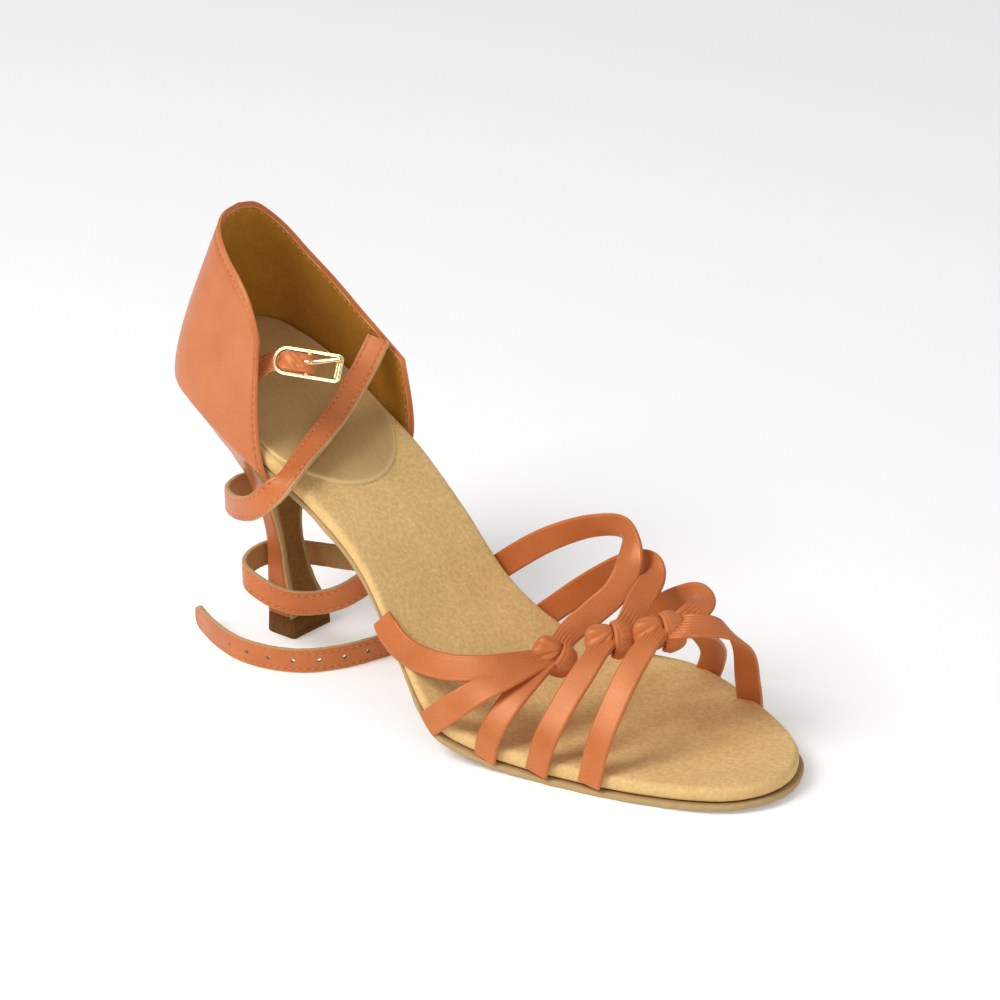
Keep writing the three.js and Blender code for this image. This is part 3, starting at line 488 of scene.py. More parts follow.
def suede(name, light, dark, raw=None, fine=1500.0, blotch=110.0, depth=0.12):
    """Suede: a nap of fine noise with brushed blotches, and a paler raw edge at its marked rim."""
    f = Finish(name, roughness=0.95, sheen=0.08, sheen_tint=(1, 0.85, 0.6), specular=0.12)
    here = f.coords("Object")
    nap = f.noise(here, fine, 4.0, 0.7)
    brushed = f.noise(here, blotch, 4.0, 0.62)
    tone = f.math("ADD", f.spread(nap, 0.3, 0.7, 0.0, 0.7), f.spread(brushed, 0.3, 0.7, 0.0, 0.3))
    colour = f.mix(tone, dark, light)
    if raw is not None:
        colour = f.mix(f.mark("rim"), colour, raw)
    return f.done(colour, f.bump(nap, 0.6, depth))


def sock_leather():
    """Thin sock leather: brushed grain, as noise stretched along the foot, over faint pores."""
    f = Finish("sock_leather", roughness=0.62, sheen=0.1, specular=0.3)
    brushed = f.noise(f.coords("Object", (280, 3200, 1), (0, 0, 0.5)), 1.0, 3.0)
    pores = f.noise(f.coords("Object"), 2200.0, 3.0)
    colour = f.mix(f.spread(brushed, 0.3, 0.7), (0.52, 0.315, 0.12), (0.64, 0.41, 0.17))
    colour = f.mix(f.mark("rim"), colour, (0.78, 0.55, 0.26))
    return f.done(colour, f.bump(pores, 0.25, 0.05, f.bump(brushed, 0.3, 0.06)))


def gold():
    """Polished pale gold plate: almost smooth, with faint uneven polish."""
    f = Finish("pale_gold", roughness=0.14, metallic=1.0)
    worn = f.noise(f.coords("Object"), 900.0, 3.0)
    colour = f.mix(worn, (0.80, 0.56, 0.24), (0.93, 0.74, 0.42))
    return f.done(colour, f.bump(worn, 0.1, 0.05), f.spread(worn, 0.3, 0.7, 0.1, 0.24))


def thread():
    """Sewing thread: twisted strands as fine slanting ridges."""
    f = Finish("thread", roughness=0.55, sheen=0.2)
    twist = f.ridges(f.coords("Object", (1, 1, 1), (0.5, 0.4, 0.3)), 900.0)
    return f.done(f.mix(twist, (0.50, 0.15, 0.05), (0.80, 0.31, 0.135)), f.bump(twist, 0.4, 0.05))


SATIN = satin("satin", (0.68, 0.215, 0.075), (0.44, 0.11, 0.026))
SATIN_WALL = satin("satin_wall", (0.68, 0.22, 0.08), (0.46, 0.12, 0.03), twill=0.4)
INSOLE_SUEDE = suede("insole_suede", (0.90, 0.62, 0.28), (0.60, 0.37, 0.135), (0.78, 0.52, 0.22),
                     fine=800, blotch=60)
LINING = suede("lining_suede", (0.5, 0.23, 0.03), (0.33, 0.135, 0.012), (0.66, 0.42, 0.15),
               fine=1300, depth=0.1)
STRAP_LINING = suede("strap_lining", (0.60, 0.38, 0.16), (0.46, 0.26, 0.09), (0.70, 0.5, 0.25))
RAW_EDGE = suede("raw_edge", (0.62, 0.44, 0.23), (0.42, 0.26, 0.11), fine=2500)
OUTSOLE_SUEDE = suede("outsole_suede", (0.34, 0.17, 0.05), (0.2, 0.09, 0.02), (0.50, 0.34, 0.16),
                      fine=1100, depth=0.3)
LIFT_FACE = suede("lift_suede", (0.19, 0.085, 0.022), (0.11, 0.042, 0.008), fine=900, depth=0.12)
LEATHER = sock_leather()
GOLD = gold()
SEWING = thread()


# Straps
def strap_line(path, sides, spacing):
    """A strap's middle, width direction, outward face and length, at even steps of its length. The width
    direction is made square to the run, and the face is the run crossed with it."""
    t = np.linspace(0, 1, 60 * len(path))
    middle, across = catmull(path, t), catmull(sides, t, even=True)
    s = lengths(middle)
    even = np.linspace(0, s[-1], int(s[-1] / spacing) + 2)
    middle, across = at_length(middle, s, even), at_length(across, s, even)
    run = unit(np.gradient(middle, even, axis=0))
    across = unit(across - np.sum(across * run, 1, keepdims=True) * run)
    return middle, across, np.cross(run, across), even


def folded_section(count):
    """A strap folded from one cloth: a closed flat oval, x = cos, y = root(1 - x^6), fuller at its two folds
    and pinched along the middle of each edge, where the layers meet."""
    turn = np.linspace(0, 2 * np.pi, count + 1)
    x = np.cos(turn)
    y = np.sign(np.sin(turn)) * np.sqrt(np.maximum(1 - np.abs(x) ** 6, 0))
    y = y * (0.84 + 0.16 * bell(np.abs(x), 0.86, 0.1))
    x = x * (1 - 0.045 * bell(np.sin(turn), 0, 0.09))
    x[-1], y[-1] = x[0], y[0]
    return x, y


def cut_section(half_wide, half_thick, corner, count):
    """A strap with cut edges: a rectangle with small round corners, and which side each point lies on:
    0 on the outer face, 1 on an edge, 2 on the lining. Closed, from the middle of one edge."""
    line = np.linspace(1, -1, count)
    arc = np.linspace(0, np.pi / 2, 4)[:-1]
    a, b = half_wide - corner, half_thick - corner
    first = [np.stack([a + corner * np.cos(arc), b + corner * np.sin(arc)], 1),
             np.stack([a * line, np.full(count, half_thick)], 1),
             np.stack([-a - corner * np.sin(arc + 0.52), b + corner * np.cos(arc + 0.52)], 1)]
    upper = np.concatenate([[(half_wide, 0)], *first, [(-half_wide, 0)]])
    lower = -upper[1:]
    both = np.concatenate([upper, lower])
    side = np.where(np.abs(both[:, 0]) > a + 0.3 * corner, 1, np.where(both[:, 1] > 0, 0, 2))
    return both[:, 0], both[:, 1], side


def sweep(line, x, y, finish=0, **marks):
    """A closed section carried along a strap: middle + across x + face y. Its UV is length and girth."""
    middle, across, face, s = line
    points = middle[:, None] + across[:, None] * x[..., None] + face[:, None] * y[..., None]
    girth = np.concatenate([[0], np.cumsum(np.hypot(np.diff(x[len(x) // 2]), np.diff(y[len(x) // 2])))])
    uv = np.stack(np.broadcast_arrays(girth[None], s[:, None]), -1)
    return grid(points, uv, finish, **marks)


def lid(ring):
    """The flat end of a strap: its last ring drawn in to the ring's middle."""
    middle = ring[:-1].mean(0)
    rows = [middle + (ring - middle) * k for k in (1, 0.6, 0.0)]
    return grid(np.stack(rows), np.zeros((3, len(ring), 2)) + [0, 1])


def stitches(points, normals, start=FIRST_STITCH):
    """A row of stitches: short threads along a line, each an arch that dips into the cloth at both ends.
    A thread is a tube whose radius falls to nothing at its ends and whose middle rises by a half sine."""
    s = lengths(points)
    begin = np.arange(start, s[-1] - STITCH_LONG - 0.3, STITCH_PITCH)
    part = np.linspace(0, 1, 6)
    where = begin[:, None] + STITCH_LONG * part
    middle = at_length(points, s, where.ravel()).reshape(*where.shape, 3)
    out = unit(at_length(normals, s, where.ravel())).reshape(*where.shape, 3)
    run = unit(np.gradient(middle, axis=1))
    side = unit(np.cross(run, out))
    middle = middle + out * ((np.sin(np.pi * part) * 1.5 - 0.9) * THREAD)[None, :, None]
    turn = np.linspace(0, 2 * np.pi, 7)
    size = THREAD * np.array([0, 0.85, 1, 1, 0.85, 0])[None, :, None, None]
    ring = side[:, :, None] * np.cos(turn)[:, None] + out[:, :, None] * np.sin(turn)[:, None]
    return copies(middle[:, :, None] + ring * size)


def seam_dips(s, x, row):
    """How deep the cloth is drawn in along a stitch row at x = row: a groove, deepest at the needle holes,
    which lie midway between one stitch's end and the next one's start. The second value marks those
    holes for painted shade."""
    phase = (s - FIRST_STITCH - STITCH_LONG - (STITCH_PITCH - STITCH_LONG) / 2) % STITCH_PITCH
    hole = bell(np.minimum(phase, STITCH_PITCH - phase), 0, 0.3)
    across = bell(x, row, 0.28)
    return across * (0.35 + 0.65 * hole[:, None]), bell(x, row, 0.2) * hole[:, None]


# Sole pieces
def outline(xs, grow, drop):
    """A closed loop round the last: forward on the outer side and back on the inner one."""
    x = np.concatenate([xs, xs[::-1], xs[:1]])
    side = np.concatenate([-np.ones(len(xs)), np.ones(len(xs)), [-1]])
    grow, drop = (np.broadcast_to(v(x) if callable(v) else v, x.shape) for v in (grow, drop))
    plan = np.where((side < 0)[:, None], edge(x, -1, grow), edge(x, 1, grow))
    z = np.maximum(top_at(plan[:, 0]) - drop, 0)
    return np.column_stack([plan, z])


def filling(loop, xs, count, drop):
    """The face inside a loop: straight lines from its outer side to its inner one, at its own height."""
    n = len(xs)
    near, far = loop[:n], loop[n:2 * n][::-1]
    points = across_ring(near, far, count)
    below = drop(xs)[:, None] if callable(drop) else drop
    points[:, 1:-1, 2] = np.maximum(top_at(points[:, 1:-1, 0]) - below, 0)
    return points


def plate(xs, layers, count=40, **marks):
    """A plate that follows the last: layers of its outline one above another, closed below and above."""
    rings = np.stack([outline(xs, grow, drop) for grow, drop in layers])
    shades = {k: np.asarray(v, float)[:, None] for k, v in marks.items()}
    wall = grid(rings, None, 0, **shades)
    bottom, top = (grid(filling(rings[k], xs, count, layers[k][1]), None, 0,
                        **{name: shade[k, 0] for name, shade in shades.items()}) for k in (0, -1))
    return [wall, bottom, top]


def make_insole():
    """The insole board in its suede cover: an upright side, a quarter-round edge, and a flat top."""
    xs = stations(HEEL_BACK, TOE_TIP, 220)
    seat = lambda x: SEAT_THICK - (SEAT_THICK - INSOLE_THICK) * smoothstep(x, BREAST_X - 6, BREAST_X - 2)
    turn = np.linspace(0, np.pi / 2, 9)[1:]
    round_edge = [(-EDGE_ROUND * (1 - np.cos(a)), EDGE_ROUND * (1 - np.sin(a))) for a in turn]
    layers = [(-1.0, seat), (-0.2, lambda x: seat(x) - 0.5), (0, INSOLE_THICK - 1.2), (0, 2.4),
              (0, EDGE_ROUND), *round_edge, (-2.4, 0), (-3.4, 0), (-5, 0)]
    rim = [0.3] * 5 + list(0.3 * (1 - turn / turn[-1])) + [0, 0, 0]
    return make_piece("insole_cover", plate(xs, layers, rim=rim), [INSOLE_SUEDE],
                      stands_for=["insole"], sharp=80)


def flange(x):
    """How far the outsole stands out past the insole: from nothing at the waist to its full width."""
    return FLANGE * smoothstep(x, 104, 134)


def make_outsole():
    """The suede outsole with its ragged cut edge, and the flap that runs down over the heel's breast."""
    xs = stations(BREAST_X, TOE_TIP, 300)
    ragged = wobble(2 * len(xs) + 1, 5, 3) * 0.16
    ragged[-1] = ragged[0]
    layers = [(-0.7, SOLE_DEPTH), (-0.1, SOLE_DEPTH - 0.1), (0.05, SOLE_DEPTH - 0.5), (0, SOLE_DEPTH - 0.9),
              (0.06, UNDER_INSOLE + 0.45), (-0.15, UNDER_INSOLE + 0.08), (-0.9, UNDER_INSOLE - 0.05),
              (-2.5, UNDER_INSOLE)]
    rings = np.stack([
        outline(xs, lambda x, g=grow, r=np.roll(ragged, k): flange(x) + g + r[:len(x)], drop)
        for k, (grow, drop) in enumerate(layers)])
    rim = np.array([0.2, 0.7, 1, 1, 1, 1, 0.7, 0.4])[:, None]
    sheet = [grid(rings, None, 0, rim=rim), grid(filling(rings[0], xs, 40, SOLE_DEPTH), rim=0.1),
             grid(filling(rings[-1], xs, 12, UNDER_INSOLE), rim=0.2)]
    # The flap: a thin rounded section that runs down the breast and bends forward under the waist.
    under_waist = ((46.6, 62.6, 1.2), (49.6, 63.7, 0.6), (54, 62.5, 0.5))
    bend = [(x, z, half_at(x) - inset) for x, z, inset in under_waist]
    rows = np.concatenate([HEEL[:, [2, 3, 4]], bend])
    rows = spline(np.arange(len(rows)), rows)(np.linspace(0, len(rows) - 1, 150))
    run = unit(np.gradient(rows[:, :2], axis=0))
    front = np.stack([run[:, 1], np.zeros(len(run)), -run[:, 0]], -1)
    x, y, side = cut_section(1.0, FLAP_THICK / 2, 0.35, 36)
    fuzz = (wobble(len(rows), 8, 2)[:, None] * 0.13 + wobble(len(rows), 9, 5)[:, None] * 0.1) * (side == 1)
    middle = np.stack([rows[:, 0], np.zeros(len(rows)), rows[:, 1]], -1) - front * FLAP_THICK / 2
    wide = x * rows[:, 2:] + np.sign(x) * fuzz
    points = middle[:, None] + np.array([0, 1, 0]) * wide[..., None] + front[:, None] * y[None, :, None]
    flap = grid(points, np.stack([wide, np.broadcast_to(lengths(rows[:, :2])[:, None], wide.shape)], -1), 0,
                rim=(side == 1) * 1.0 + (side != 1) * 0.5 * (np.abs(x) > 0.93))
    return make_piece("outsole_sheet", [*sheet, flap, lid(points[0]), lid(points[-1])], [OUTSOLE_SUEDE],
                      stands_for=["outsole"], sharp=60)


def make_heel_pad():
    """The leather sock on the heel seat: it follows the seat's edge to a round front, with a bevel."""
    back = HEEL_BACK + PAD_INSET
    share = (1 - np.cos(np.pi * np.arange(PAD_COLUMNS + 1) / PAD_COLUMNS)) / 2
    xs = back + (PAD_FRONT - back) * share
    side = edge(xs, 1, -PAD_INSET)[:, 1] - centre_at(xs)
    round_front = (half_at(PAD_FRONT - PAD_ARC) - PAD_INSET) * np.sqrt(
        np.clip(1 - (np.maximum(xs - PAD_FRONT + PAD_ARC, 0) / PAD_ARC) ** 2, 0, 1))
    half = np.minimum(side, round_front)
    half[0] = half[-1] = 0
    loop = np.stack([np.concatenate([xs, xs[-2::-1]]), np.concatenate([-half, half[-2::-1]])], -1)
    middle = np.array([(back + PAD_FRONT) / 2, 0])
    rings = []
    for inset, height in ((0, 0.02), (0, 0.45), (0.12, 0.72), (0.4, 0.9), (0.9, PAD_TOP), (2, PAD_TOP)):
        plan = loop + unit(middle - loop) * inset
        x = plan[:, 0]
        rings.append(np.column_stack([x, plan[:, 1] + centre_at(x), top_at(x) + height]))
    rings = np.stack(rings)
    rim = np.array([1, 1, 1, 0.8, 0.15, 0])[:, None]
    n = len(xs)
    top, under = (grid(across_ring(ring[:n], ring[n - 1:][::-1], 40), rim=0.0) for ring in rings[[-1, 0]])
    return make_piece("heel_sock", [grid(rings, None, 0, rim=rim), top, under], [LEATHER],
                      stands_for=["heel_pad"], sharp=70)


# The heel
def across_ring(near, far, count):
    """Straight lines from each point of one side to the point that faces it, as a grid."""
    share = np.linspace(0, 1, count)[None, :, None]
    return near[:, None] * (1 - share) + far[:, None] * share


def heel_ends(low, high):
    """The two flat ends of the heel or its tip, from the outer side of each ring to its inner side."""
    return [grid(across_ring(ring[:HEEL_COLUMNS], ring[HEEL_COLUMNS:2 * HEEL_COLUMNS][::-1], 12))
            for ring in (low, high)]


def heel_section(row, set_back):
    """One section of the heel: a back that follows (1 - |1 - u/w|^p)^(1/p), where w is the share at which
    it is widest and p how square it is, then straight sides and eased corners at a flat breast."""
    back_x, back_z, front_x, front_z, half, back_y, front_y, square, widest = row
    u = (1 - np.cos(np.pi * np.linspace(0, 1, HEEL_COLUMNS))) / 2
    back = np.maximum(1 - np.abs(1 - u / widest) ** square, 0) ** (1 / square)
    v = np.where(u < widest, back, 1) * (1 - 0.06 * smoothstep(u, 0.86, 1.0) ** 2)
    side = np.stack([back_x + (front_x - set_back - back_x) * u, back_y + (front_y - back_y) * u - v * half,
                     back_z + (front_z - back_z) * u], -1)
    other = side * [1, 1, 1] + np.stack([0 * v, 2 * v * half, 0 * v], -1)
    return np.concatenate([side, other[::-1]])


def make_heel():
    """The satin-covered heel: a smooth spline through its sections up to the ring under the heel cup."""
    rings = [heel_section(row, FLAP_THICK + 0.02) for row in HEEL]
    xs = HEEL_BACK + (BREAST_X - GAP - HEEL_BACK) * (1 - np.cos(np.pi * np.linspace(0, 1, HEEL_COLUMNS))) / 2
    seat = []
    for side in (-1, 1):
        plan = edge(xs, side, np.full(HEEL_COLUMNS, WALL + GAP))
        plan[:, 0] = np.minimum(plan[:, 0], BREAST_X - GAP)
        seat.append(np.column_stack([plan, top_at(plan[:, 0]) - SOLE_DEPTH + 0.2]))
    rings.append(np.concatenate([seat[0], seat[1][::-1]]))
    rings = np.stack(rings)
    fine = spline(np.arange(len(rings)), rings)(np.linspace(0, len(rings) - 1, 170))
    closed = np.concatenate([fine, fine[:, :1]], 1)
    girth = np.cumsum(np.linalg.norm(np.diff(closed, axis=1, prepend=closed[:, :1]), axis=2), 1)
    uv = np.stack([girth - girth[:, HEEL_COLUMNS - 1:HEEL_COLUMNS] * 0.5, closed[..., 2]], -1)
    return make_piece("heel_cover", [grid(closed, uv), *heel_ends(fine[0], fine[-1])], [SATIN_WALL],
                      stands_for=["heel"], sharp=60)


def make_top_lift():
    """The wearing tip: the heel's lowest section, a trifle wider at the floor, with a suede face below."""
    levels = ((0.0, 0.0), (0.35, 0.25), (1.9, 0.22), (2.0, 0.1), (2.15, 0.18), (6.5, 0.0), (6.86, -0.15))
    rings = []
    for z, grow in levels:
        row = HEEL[0].copy()
        row[[1, 3]] = z
        row[0] -= grow
        row[4] += grow
        rings.append(heel_section(row, -0.1 - grow))
    rings = np.stack(rings)
    rings[:, :, 2] = np.array([z for z, _ in levels])[:, None]
    closed = np.concatenate([rings, rings[:, :1]], 1)
    return make_piece("heel_tip", [grid(closed), *heel_ends(rings[0], rings[-1])], [LIFT_FACE],
                      stands_for=["top_lift"], sharp=40)


# The heel cup
def cup_surface():
    """The cup's outer face: columns from the seat to the topline. A column is the straight line between
    its ends, pushed outward by a sine belly and forward by a sine sweep. Also its unit inward normal."""
    near_edge = np.arange(8, 7.45, -0.035)
    q = np.concatenate([near_edge, np.linspace(7.4, 0, 84)])
    q = np.concatenate([-q, q[::-1][1:]])
    side = np.where(q < 0, -1, 1)
    t = np.concatenate([np.linspace(0, 0.917, 46), np.linspace(0.917, 1, 16)[1:]])
    outer_rows, inner_rows = (spline(np.arange(len(CUP[k])), CUP[k])(np.abs(q)) for k in (-1, 1))
    rows = np.where((q < 0)[:, None], outer_rows, inner_rows)
    foot_x, top_x, top_y, top_z, rounds, sweep_x = rows.T
    grow = np.full(len(q), WALL + GAP + 0.12)
    plan = np.where((side < 0)[:, None], edge(foot_x, -1, grow), edge(foot_x, 1, grow))
    low = np.column_stack([plan, top_at(plan[:, 0]) - SEAT_THICK])
    high = np.column_stack([top_x, top_y, top_z])
    heart = np.column_stack([np.maximum(28, foot_x), np.full(len(q), centre_at(28.0))])
    out = np.column_stack([unit(plan - heart), np.zeros(len(q))])
    belly = rounds[:, None] * np.sin(np.pi * t**0.62)
    points = low[:, None] + (high - low)[:, None] * t[None, :, None] + out[:, None] * belly[..., None]
    points[..., 0] += sweep_x[:, None] * np.sin(np.pi * t**0.6)
    along = np.gradient(points, axis=0)
    up = np.gradient(points, axis=1)
    return points, unit(np.cross(along, up)), q


def first_crossing(field, level):
    """Along each row, the fractional index where the field first rises to the level, and if it does."""
    over = field >= level
    found = over.any(1) & ~over[:, 0]
    i = np.clip(np.argmax(over, 1), 1, field.shape[1] - 1)
    rows = np.arange(len(field))
    a, b = field[rows, i - 1], field[rows, i]
    return i - 1 + np.clip((level - a) / np.where(b == a, 1, b - a), 0, 1), found


def lookup(values, i, k):
    """The grid's values at fractional indices, straight between the four points round each."""
    i0 = np.clip(np.floor(i).astype(int), 0, values.shape[0] - 2)
    k0 = np.clip(np.floor(k).astype(int), 0, values.shape[1] - 2)
    a, b = (i - i0)[:, None], (k - k0)[:, None]
    return ((values[i0, k0] * (1 - a) + values[i0 + 1, k0] * a) * (1 - b)
            + (values[i0, k0 + 1] * (1 - a) + values[i0 + 1, k0 + 1] * a) * b)


def make_counter():
    """The heel cup: a satin wall and a suede lining with a folded rim round the top and both fronts. How
    far each face stands from the wall's middle depends on the distance to the rim: a half round at the rim,
    two ridges of the fold, the stitch groove, and inside the lining's raw edge as a step. Painted shade
    darkens the satin along the stitch groove."""
    outer, inward, q = cup_surface()
    step_up = np.linalg.norm(np.diff(outer, axis=1), axis=2)
    to_top = np.concatenate([np.cumsum(step_up[:, ::-1], 1)[:, ::-1], np.zeros((len(q), 1))], 1)
    step_along = np.linalg.norm(np.diff(outer, axis=0), axis=2)
    from_start = np.concatenate([np.zeros((1, outer.shape[1])), np.cumsum(step_along, 0)])
    to_front = np.minimum(from_start, from_start[-1] - from_start)
    rim = (np.maximum(to_top, 1e-3) ** -4.0 + np.maximum(to_front, 1e-3) ** -4.0) ** -0.25
    middle = outer + inward * WALL / 2
    roundness = np.sqrt(np.clip(1 - (1 - np.minimum(rim, CUP_RIM) / CUP_RIM) ** 2, 0, 1))
    back_seam = bell(q, 0, 0.035)[:, None] * smoothstep(rim, 1.2, 3)
    outside = (WALL / 2 - 0.22 + 0.3 * bell(rim, 0.95, 0.45) + 0.16 * bell(rim, 1.85, 0.32)
               - 0.28 * bell(rim, CUP_ROW, 0.33) + 0.22 * smoothstep(rim, CUP_ROW + 0.2, CUP_ROW + 1.4)
               - 0.3 * back_seam)
    inside = (WALL / 2 - 0.42 + 0.42 * smoothstep(rim, 1.15, 1.4) - 0.12 * bell(rim, CUP_ROW, 0.33)
              + 0.05 * wobble(len(q), 11, 3)[:, None] * bell(rim, 1.4, 0.4))
    front_face = middle - inward * (outside * roundness)[..., None]
    back_face = middle + inward * (inside * roundness)[..., None]
    height = to_top[:, :1] - to_top
    uv = np.stack([from_start[:, 30:31] + 0 * height, height], -1)
    lining = 1 * ((rim[1:, 1:] > LINING_EDGE) & (rim[:-1, :-1] > LINING_EDGE))
    pale = bell(rim, 1.42, 0.22)
    base = np.stack([front_face[:, 0], back_face[:, 0]], 1)
    # Painted shade: the satin is darkened along the stitch groove.
    hole = bell(rim, CUP_ROW, 0.2) * 0.55
    patches = [grid(front_face, uv, 0, hole=hole), grid(back_face, uv, lining, rim=pale),
               grid(base, uv[:, :2], 1)]
    make_piece("heel_cup", patches, [SATIN_WALL, LINING], stands_for=["counter"], sharp=60)

    near, near_found = first_crossing(rim[:len(q) // 2].T, CUP_ROW)
    tops, tops_found = first_crossing(rim[:, ::-1], CUP_ROW)
    tops = rim.shape[1] - 1 - tops
    far, far_found = first_crossing(rim[::-1][:len(q) // 2].T, CUP_ROW)
    far = len(q) - 1 - far
    k, i = np.arange(rim.shape[1], dtype=float), np.arange(len(q), dtype=float)
    closer = lambda a, b: (lookup(to_front[..., None], a, b) <= lookup(to_top[..., None], a, b))[:, 0]
    near_found &= closer(near, k)
    far_found &= closer(far, k)
    tops_found &= ~closer(i, tops)
    place_i = np.concatenate([near[near_found], i[tops_found], far[far_found][::-1]])
    place_k = np.concatenate([k[near_found], tops[tops_found], k[far_found][::-1]])
    out = -unit(lookup(inward, place_i, place_k))
    for name, face, way in (("cup_stitches", front_face, 1), ("cup_lining_stitches", back_face, -1)):
        line = lookup(face, place_i, place_k)
        make_piece(name, [stitches(line, out * way, start=2.2)], [SEWING])


# The upper's straps and knots
def make_leg(name):
    """One folded strap of the upper. Where it enters its knot it is drawn narrower and thicker and gathers
    in fine pleats, which are cosines across the strap that fade with the distance from the knot."""
    path, sides = zip(*LEGS[name])
    line = strap_line(path, sides, 0.35)
    s = line[3]
    from_knot = s if name.startswith("inner") else s[-1] - s
    gather = np.exp(-((from_knot / 9.0) ** 2))
    wide = STRAP_WIDTH * (1 - 0.2 * gather)
    if name == "inner_5":
        wide = STRAP_WIDTH * (1 + 0.3 * np.exp(-(((from_knot - 5) / 7.0) ** 2)))
    thick = STRAP_THICK * (1 + 0.5 * gather)
    x, y = folded_section(132)
    x_all, y_all = x * wide[:, None] / 2, y * thick[:, None] / 2
    seed = sum(map(ord, name))
    drift = wobble(len(s), seed, 60)[:, None] * 0.5
    near_knot = np.exp(-(((from_knot - 6.5) / 5.0) ** 2))[:, None]
    pleats = np.cos(2 * np.pi * (x_all / PLEAT_PITCH + drift)) * near_knot
    slack = wobble(len(s), seed + 1, 40)[:, None] * (1 - x**2) * 0.14
    y_all = y_all + np.sign(y) * (np.abs(x) < 0.96) * (PLEAT_HIGH * pleats) + slack
    body = sweep(line, x_all, y_all)
    rings = body["points"].reshape(len(s), -1, 3)
    make_piece("strap_" + name, [body, lid(rings[0]), lid(rings[-1])], [SATIN],
               stands_for=["vamp_straps"], sharp=70)


# The camera's angles, framing, and directions: towards it, and the picture's right and up.
CAMERA_TURN, CAMERA_RISE, CAMERA_ROLL = np.radians([41.8, 24.4, -1.4])
CAMERA_LENS, CAMERA_SHIFT = 172.55, (0.025, 0.0338)
CAMERA_AIM, CAMERA_DISTANCE = np.array([98.2, 14.2, 42.8]), 1417.5
TOWARD = np.array([np.sin(CAMERA_TURN) * np.cos(CAMERA_RISE), -np.cos(CAMERA_TURN) * np.cos(CAMERA_RISE),
                   np.sin(CAMERA_RISE)])
LEVEL = np.array([np.cos(CAMERA_TURN), np.sin(CAMERA_TURN), 0.0])
UPWARD = np.cross(TOWARD, LEVEL)
RIGHT = LEVEL * np.cos(CAMERA_ROLL) + UPWARD * np.sin(CAMERA_ROLL)
ABOVE = -LEVEL * np.sin(CAMERA_ROLL) + UPWARD * np.cos(CAMERA_ROLL)


def tube(path, wide, thick, flat, count=28, power=2.6):
    """A band carried along a closed or open path: at each point an oval, flattened along the given
    direction. Its two half widths may change along the path."""
    run = unit(np.gradient(path, axis=0))
    flat = unit(flat - np.sum(flat * run, 1, keepdims=True) * run)
    across = np.cross(run, flat)
    a = np.linspace(0, 2 * np.pi, count + 1)
    x = np.sign(np.cos(a)) * np.abs(np.cos(a)) ** (2 / power)
    y = np.sign(np.sin(a)) * np.abs(np.sin(a)) ** (2 / power)
    x[-1], y[-1] = x[0], y[0]
    wide, thick = np.broadcast_to(wide, len(path))[:, None], np.broadcast_to(thick, len(path))[:, None]
    points = path[:, None] + across[:, None] * (x * wide)[..., None] + flat[:, None] * (y * thick)[..., None]
    uv = np.stack(np.broadcast_arrays((a * 2.0)[None], lengths(path)[:, None]), -1)
    return points, uv


def knot_patches(centre, size, turn):
    """A knot of satin: a pillow-shaped lobe with folds that fan out from the crease, a ring that wraps the
    strap beside it, and along the crease the two folded edges twisted round each other."""
    c, s = np.cos(np.radians(turn)), np.sin(np.radians(turn))
    frame_axes = np.stack([RIGHT * c + ABOVE * s, -RIGHT * s + ABOVE * c, TOWARD])
    place = lambda local: np.asarray(centre, float) + size * local @ frame_axes

    lat, lon = np.meshgrid(np.linspace(0, np.pi, 61), np.linspace(0, 2 * np.pi, 121), indexing="ij")
    ball = np.stack([np.sin(lat) * np.cos(lon), np.cos(lat), np.sin(lat) * np.sin(lon)], -1)
    fan = np.arctan2(ball[..., 1] - 0.75, ball[..., 0] - 0.95)
    from_crease = np.hypot(ball[..., 0] - 0.95, ball[..., 1] - 0.75)
    folds = ((2 * np.abs(np.sin(fan * 7 + 0.3)) - 1.3) * smoothstep(ball[..., 2], 0.05, 0.6)
             * smoothstep(from_crease, 0.25, 1.2))
    square = (np.abs(ball) ** 2.6).sum(-1, keepdims=True) ** (-1 / 2.6)
    lobe = ball * square * [4.9, 5.0, 3.3] * (1 + 0.07 * folds[..., None]) + [-3.3, 0.2, 0.8]
    core = ball * [5.2, 3.9, 3.6] + [0.8, -0.2, -0.4]

    a = np.linspace(0, 2 * np.pi, 121)
    bow = 1.2 * np.cos(a)
    ring = np.stack([3.2 + bow, 4.8 * np.sin(a), 3.6 * np.cos(a) - 0.2], -1)
    out = np.stack([0.35 + 0 * a, np.sin(a), np.cos(a)], -1)
    band, band_uv = tube(ring, 2.5 + 0.5 * np.cos(a), 1.05, out, count=40)

    b = np.linspace(-0.60 * np.pi, 0.56 * np.pi, 150)
    crease = np.stack([0.75 + 1.15 * np.cos(b), 5.0 * np.sin(b), 4.1 * np.cos(b) + 0.25], -1)
    lie = unit(np.stack([0.1 + 0 * b, np.sin(b), np.cos(b)], -1))
    beside = unit(np.cross(np.gradient(crease, axis=0), lie))
    twists = []
    for half in (0, np.pi):
        roll = 30 * b + half
        strand = crease + 0.42 * (beside * np.cos(roll)[:, None] + lie * np.sin(roll)[:, None])
        twists.append(tube(strand, 0.62, 0.42, lie, count=10))
    local = [(lobe, None), (core, None), (band, band_uv), *twists]
    return [grid(place(p), uv if uv is not None else 12 * np.stack([lon, lat], -1)) for p, uv in local]


def make_knots():
    """The three knots, each turned to the camera's side of the strap."""
    for name, (centre, size, turn) in KNOTS.items():
        make_piece("knot_" + name, knot_patches(centre, size, turn), [SATIN],
                   stands_for=["vamp_straps"], sharp=75)


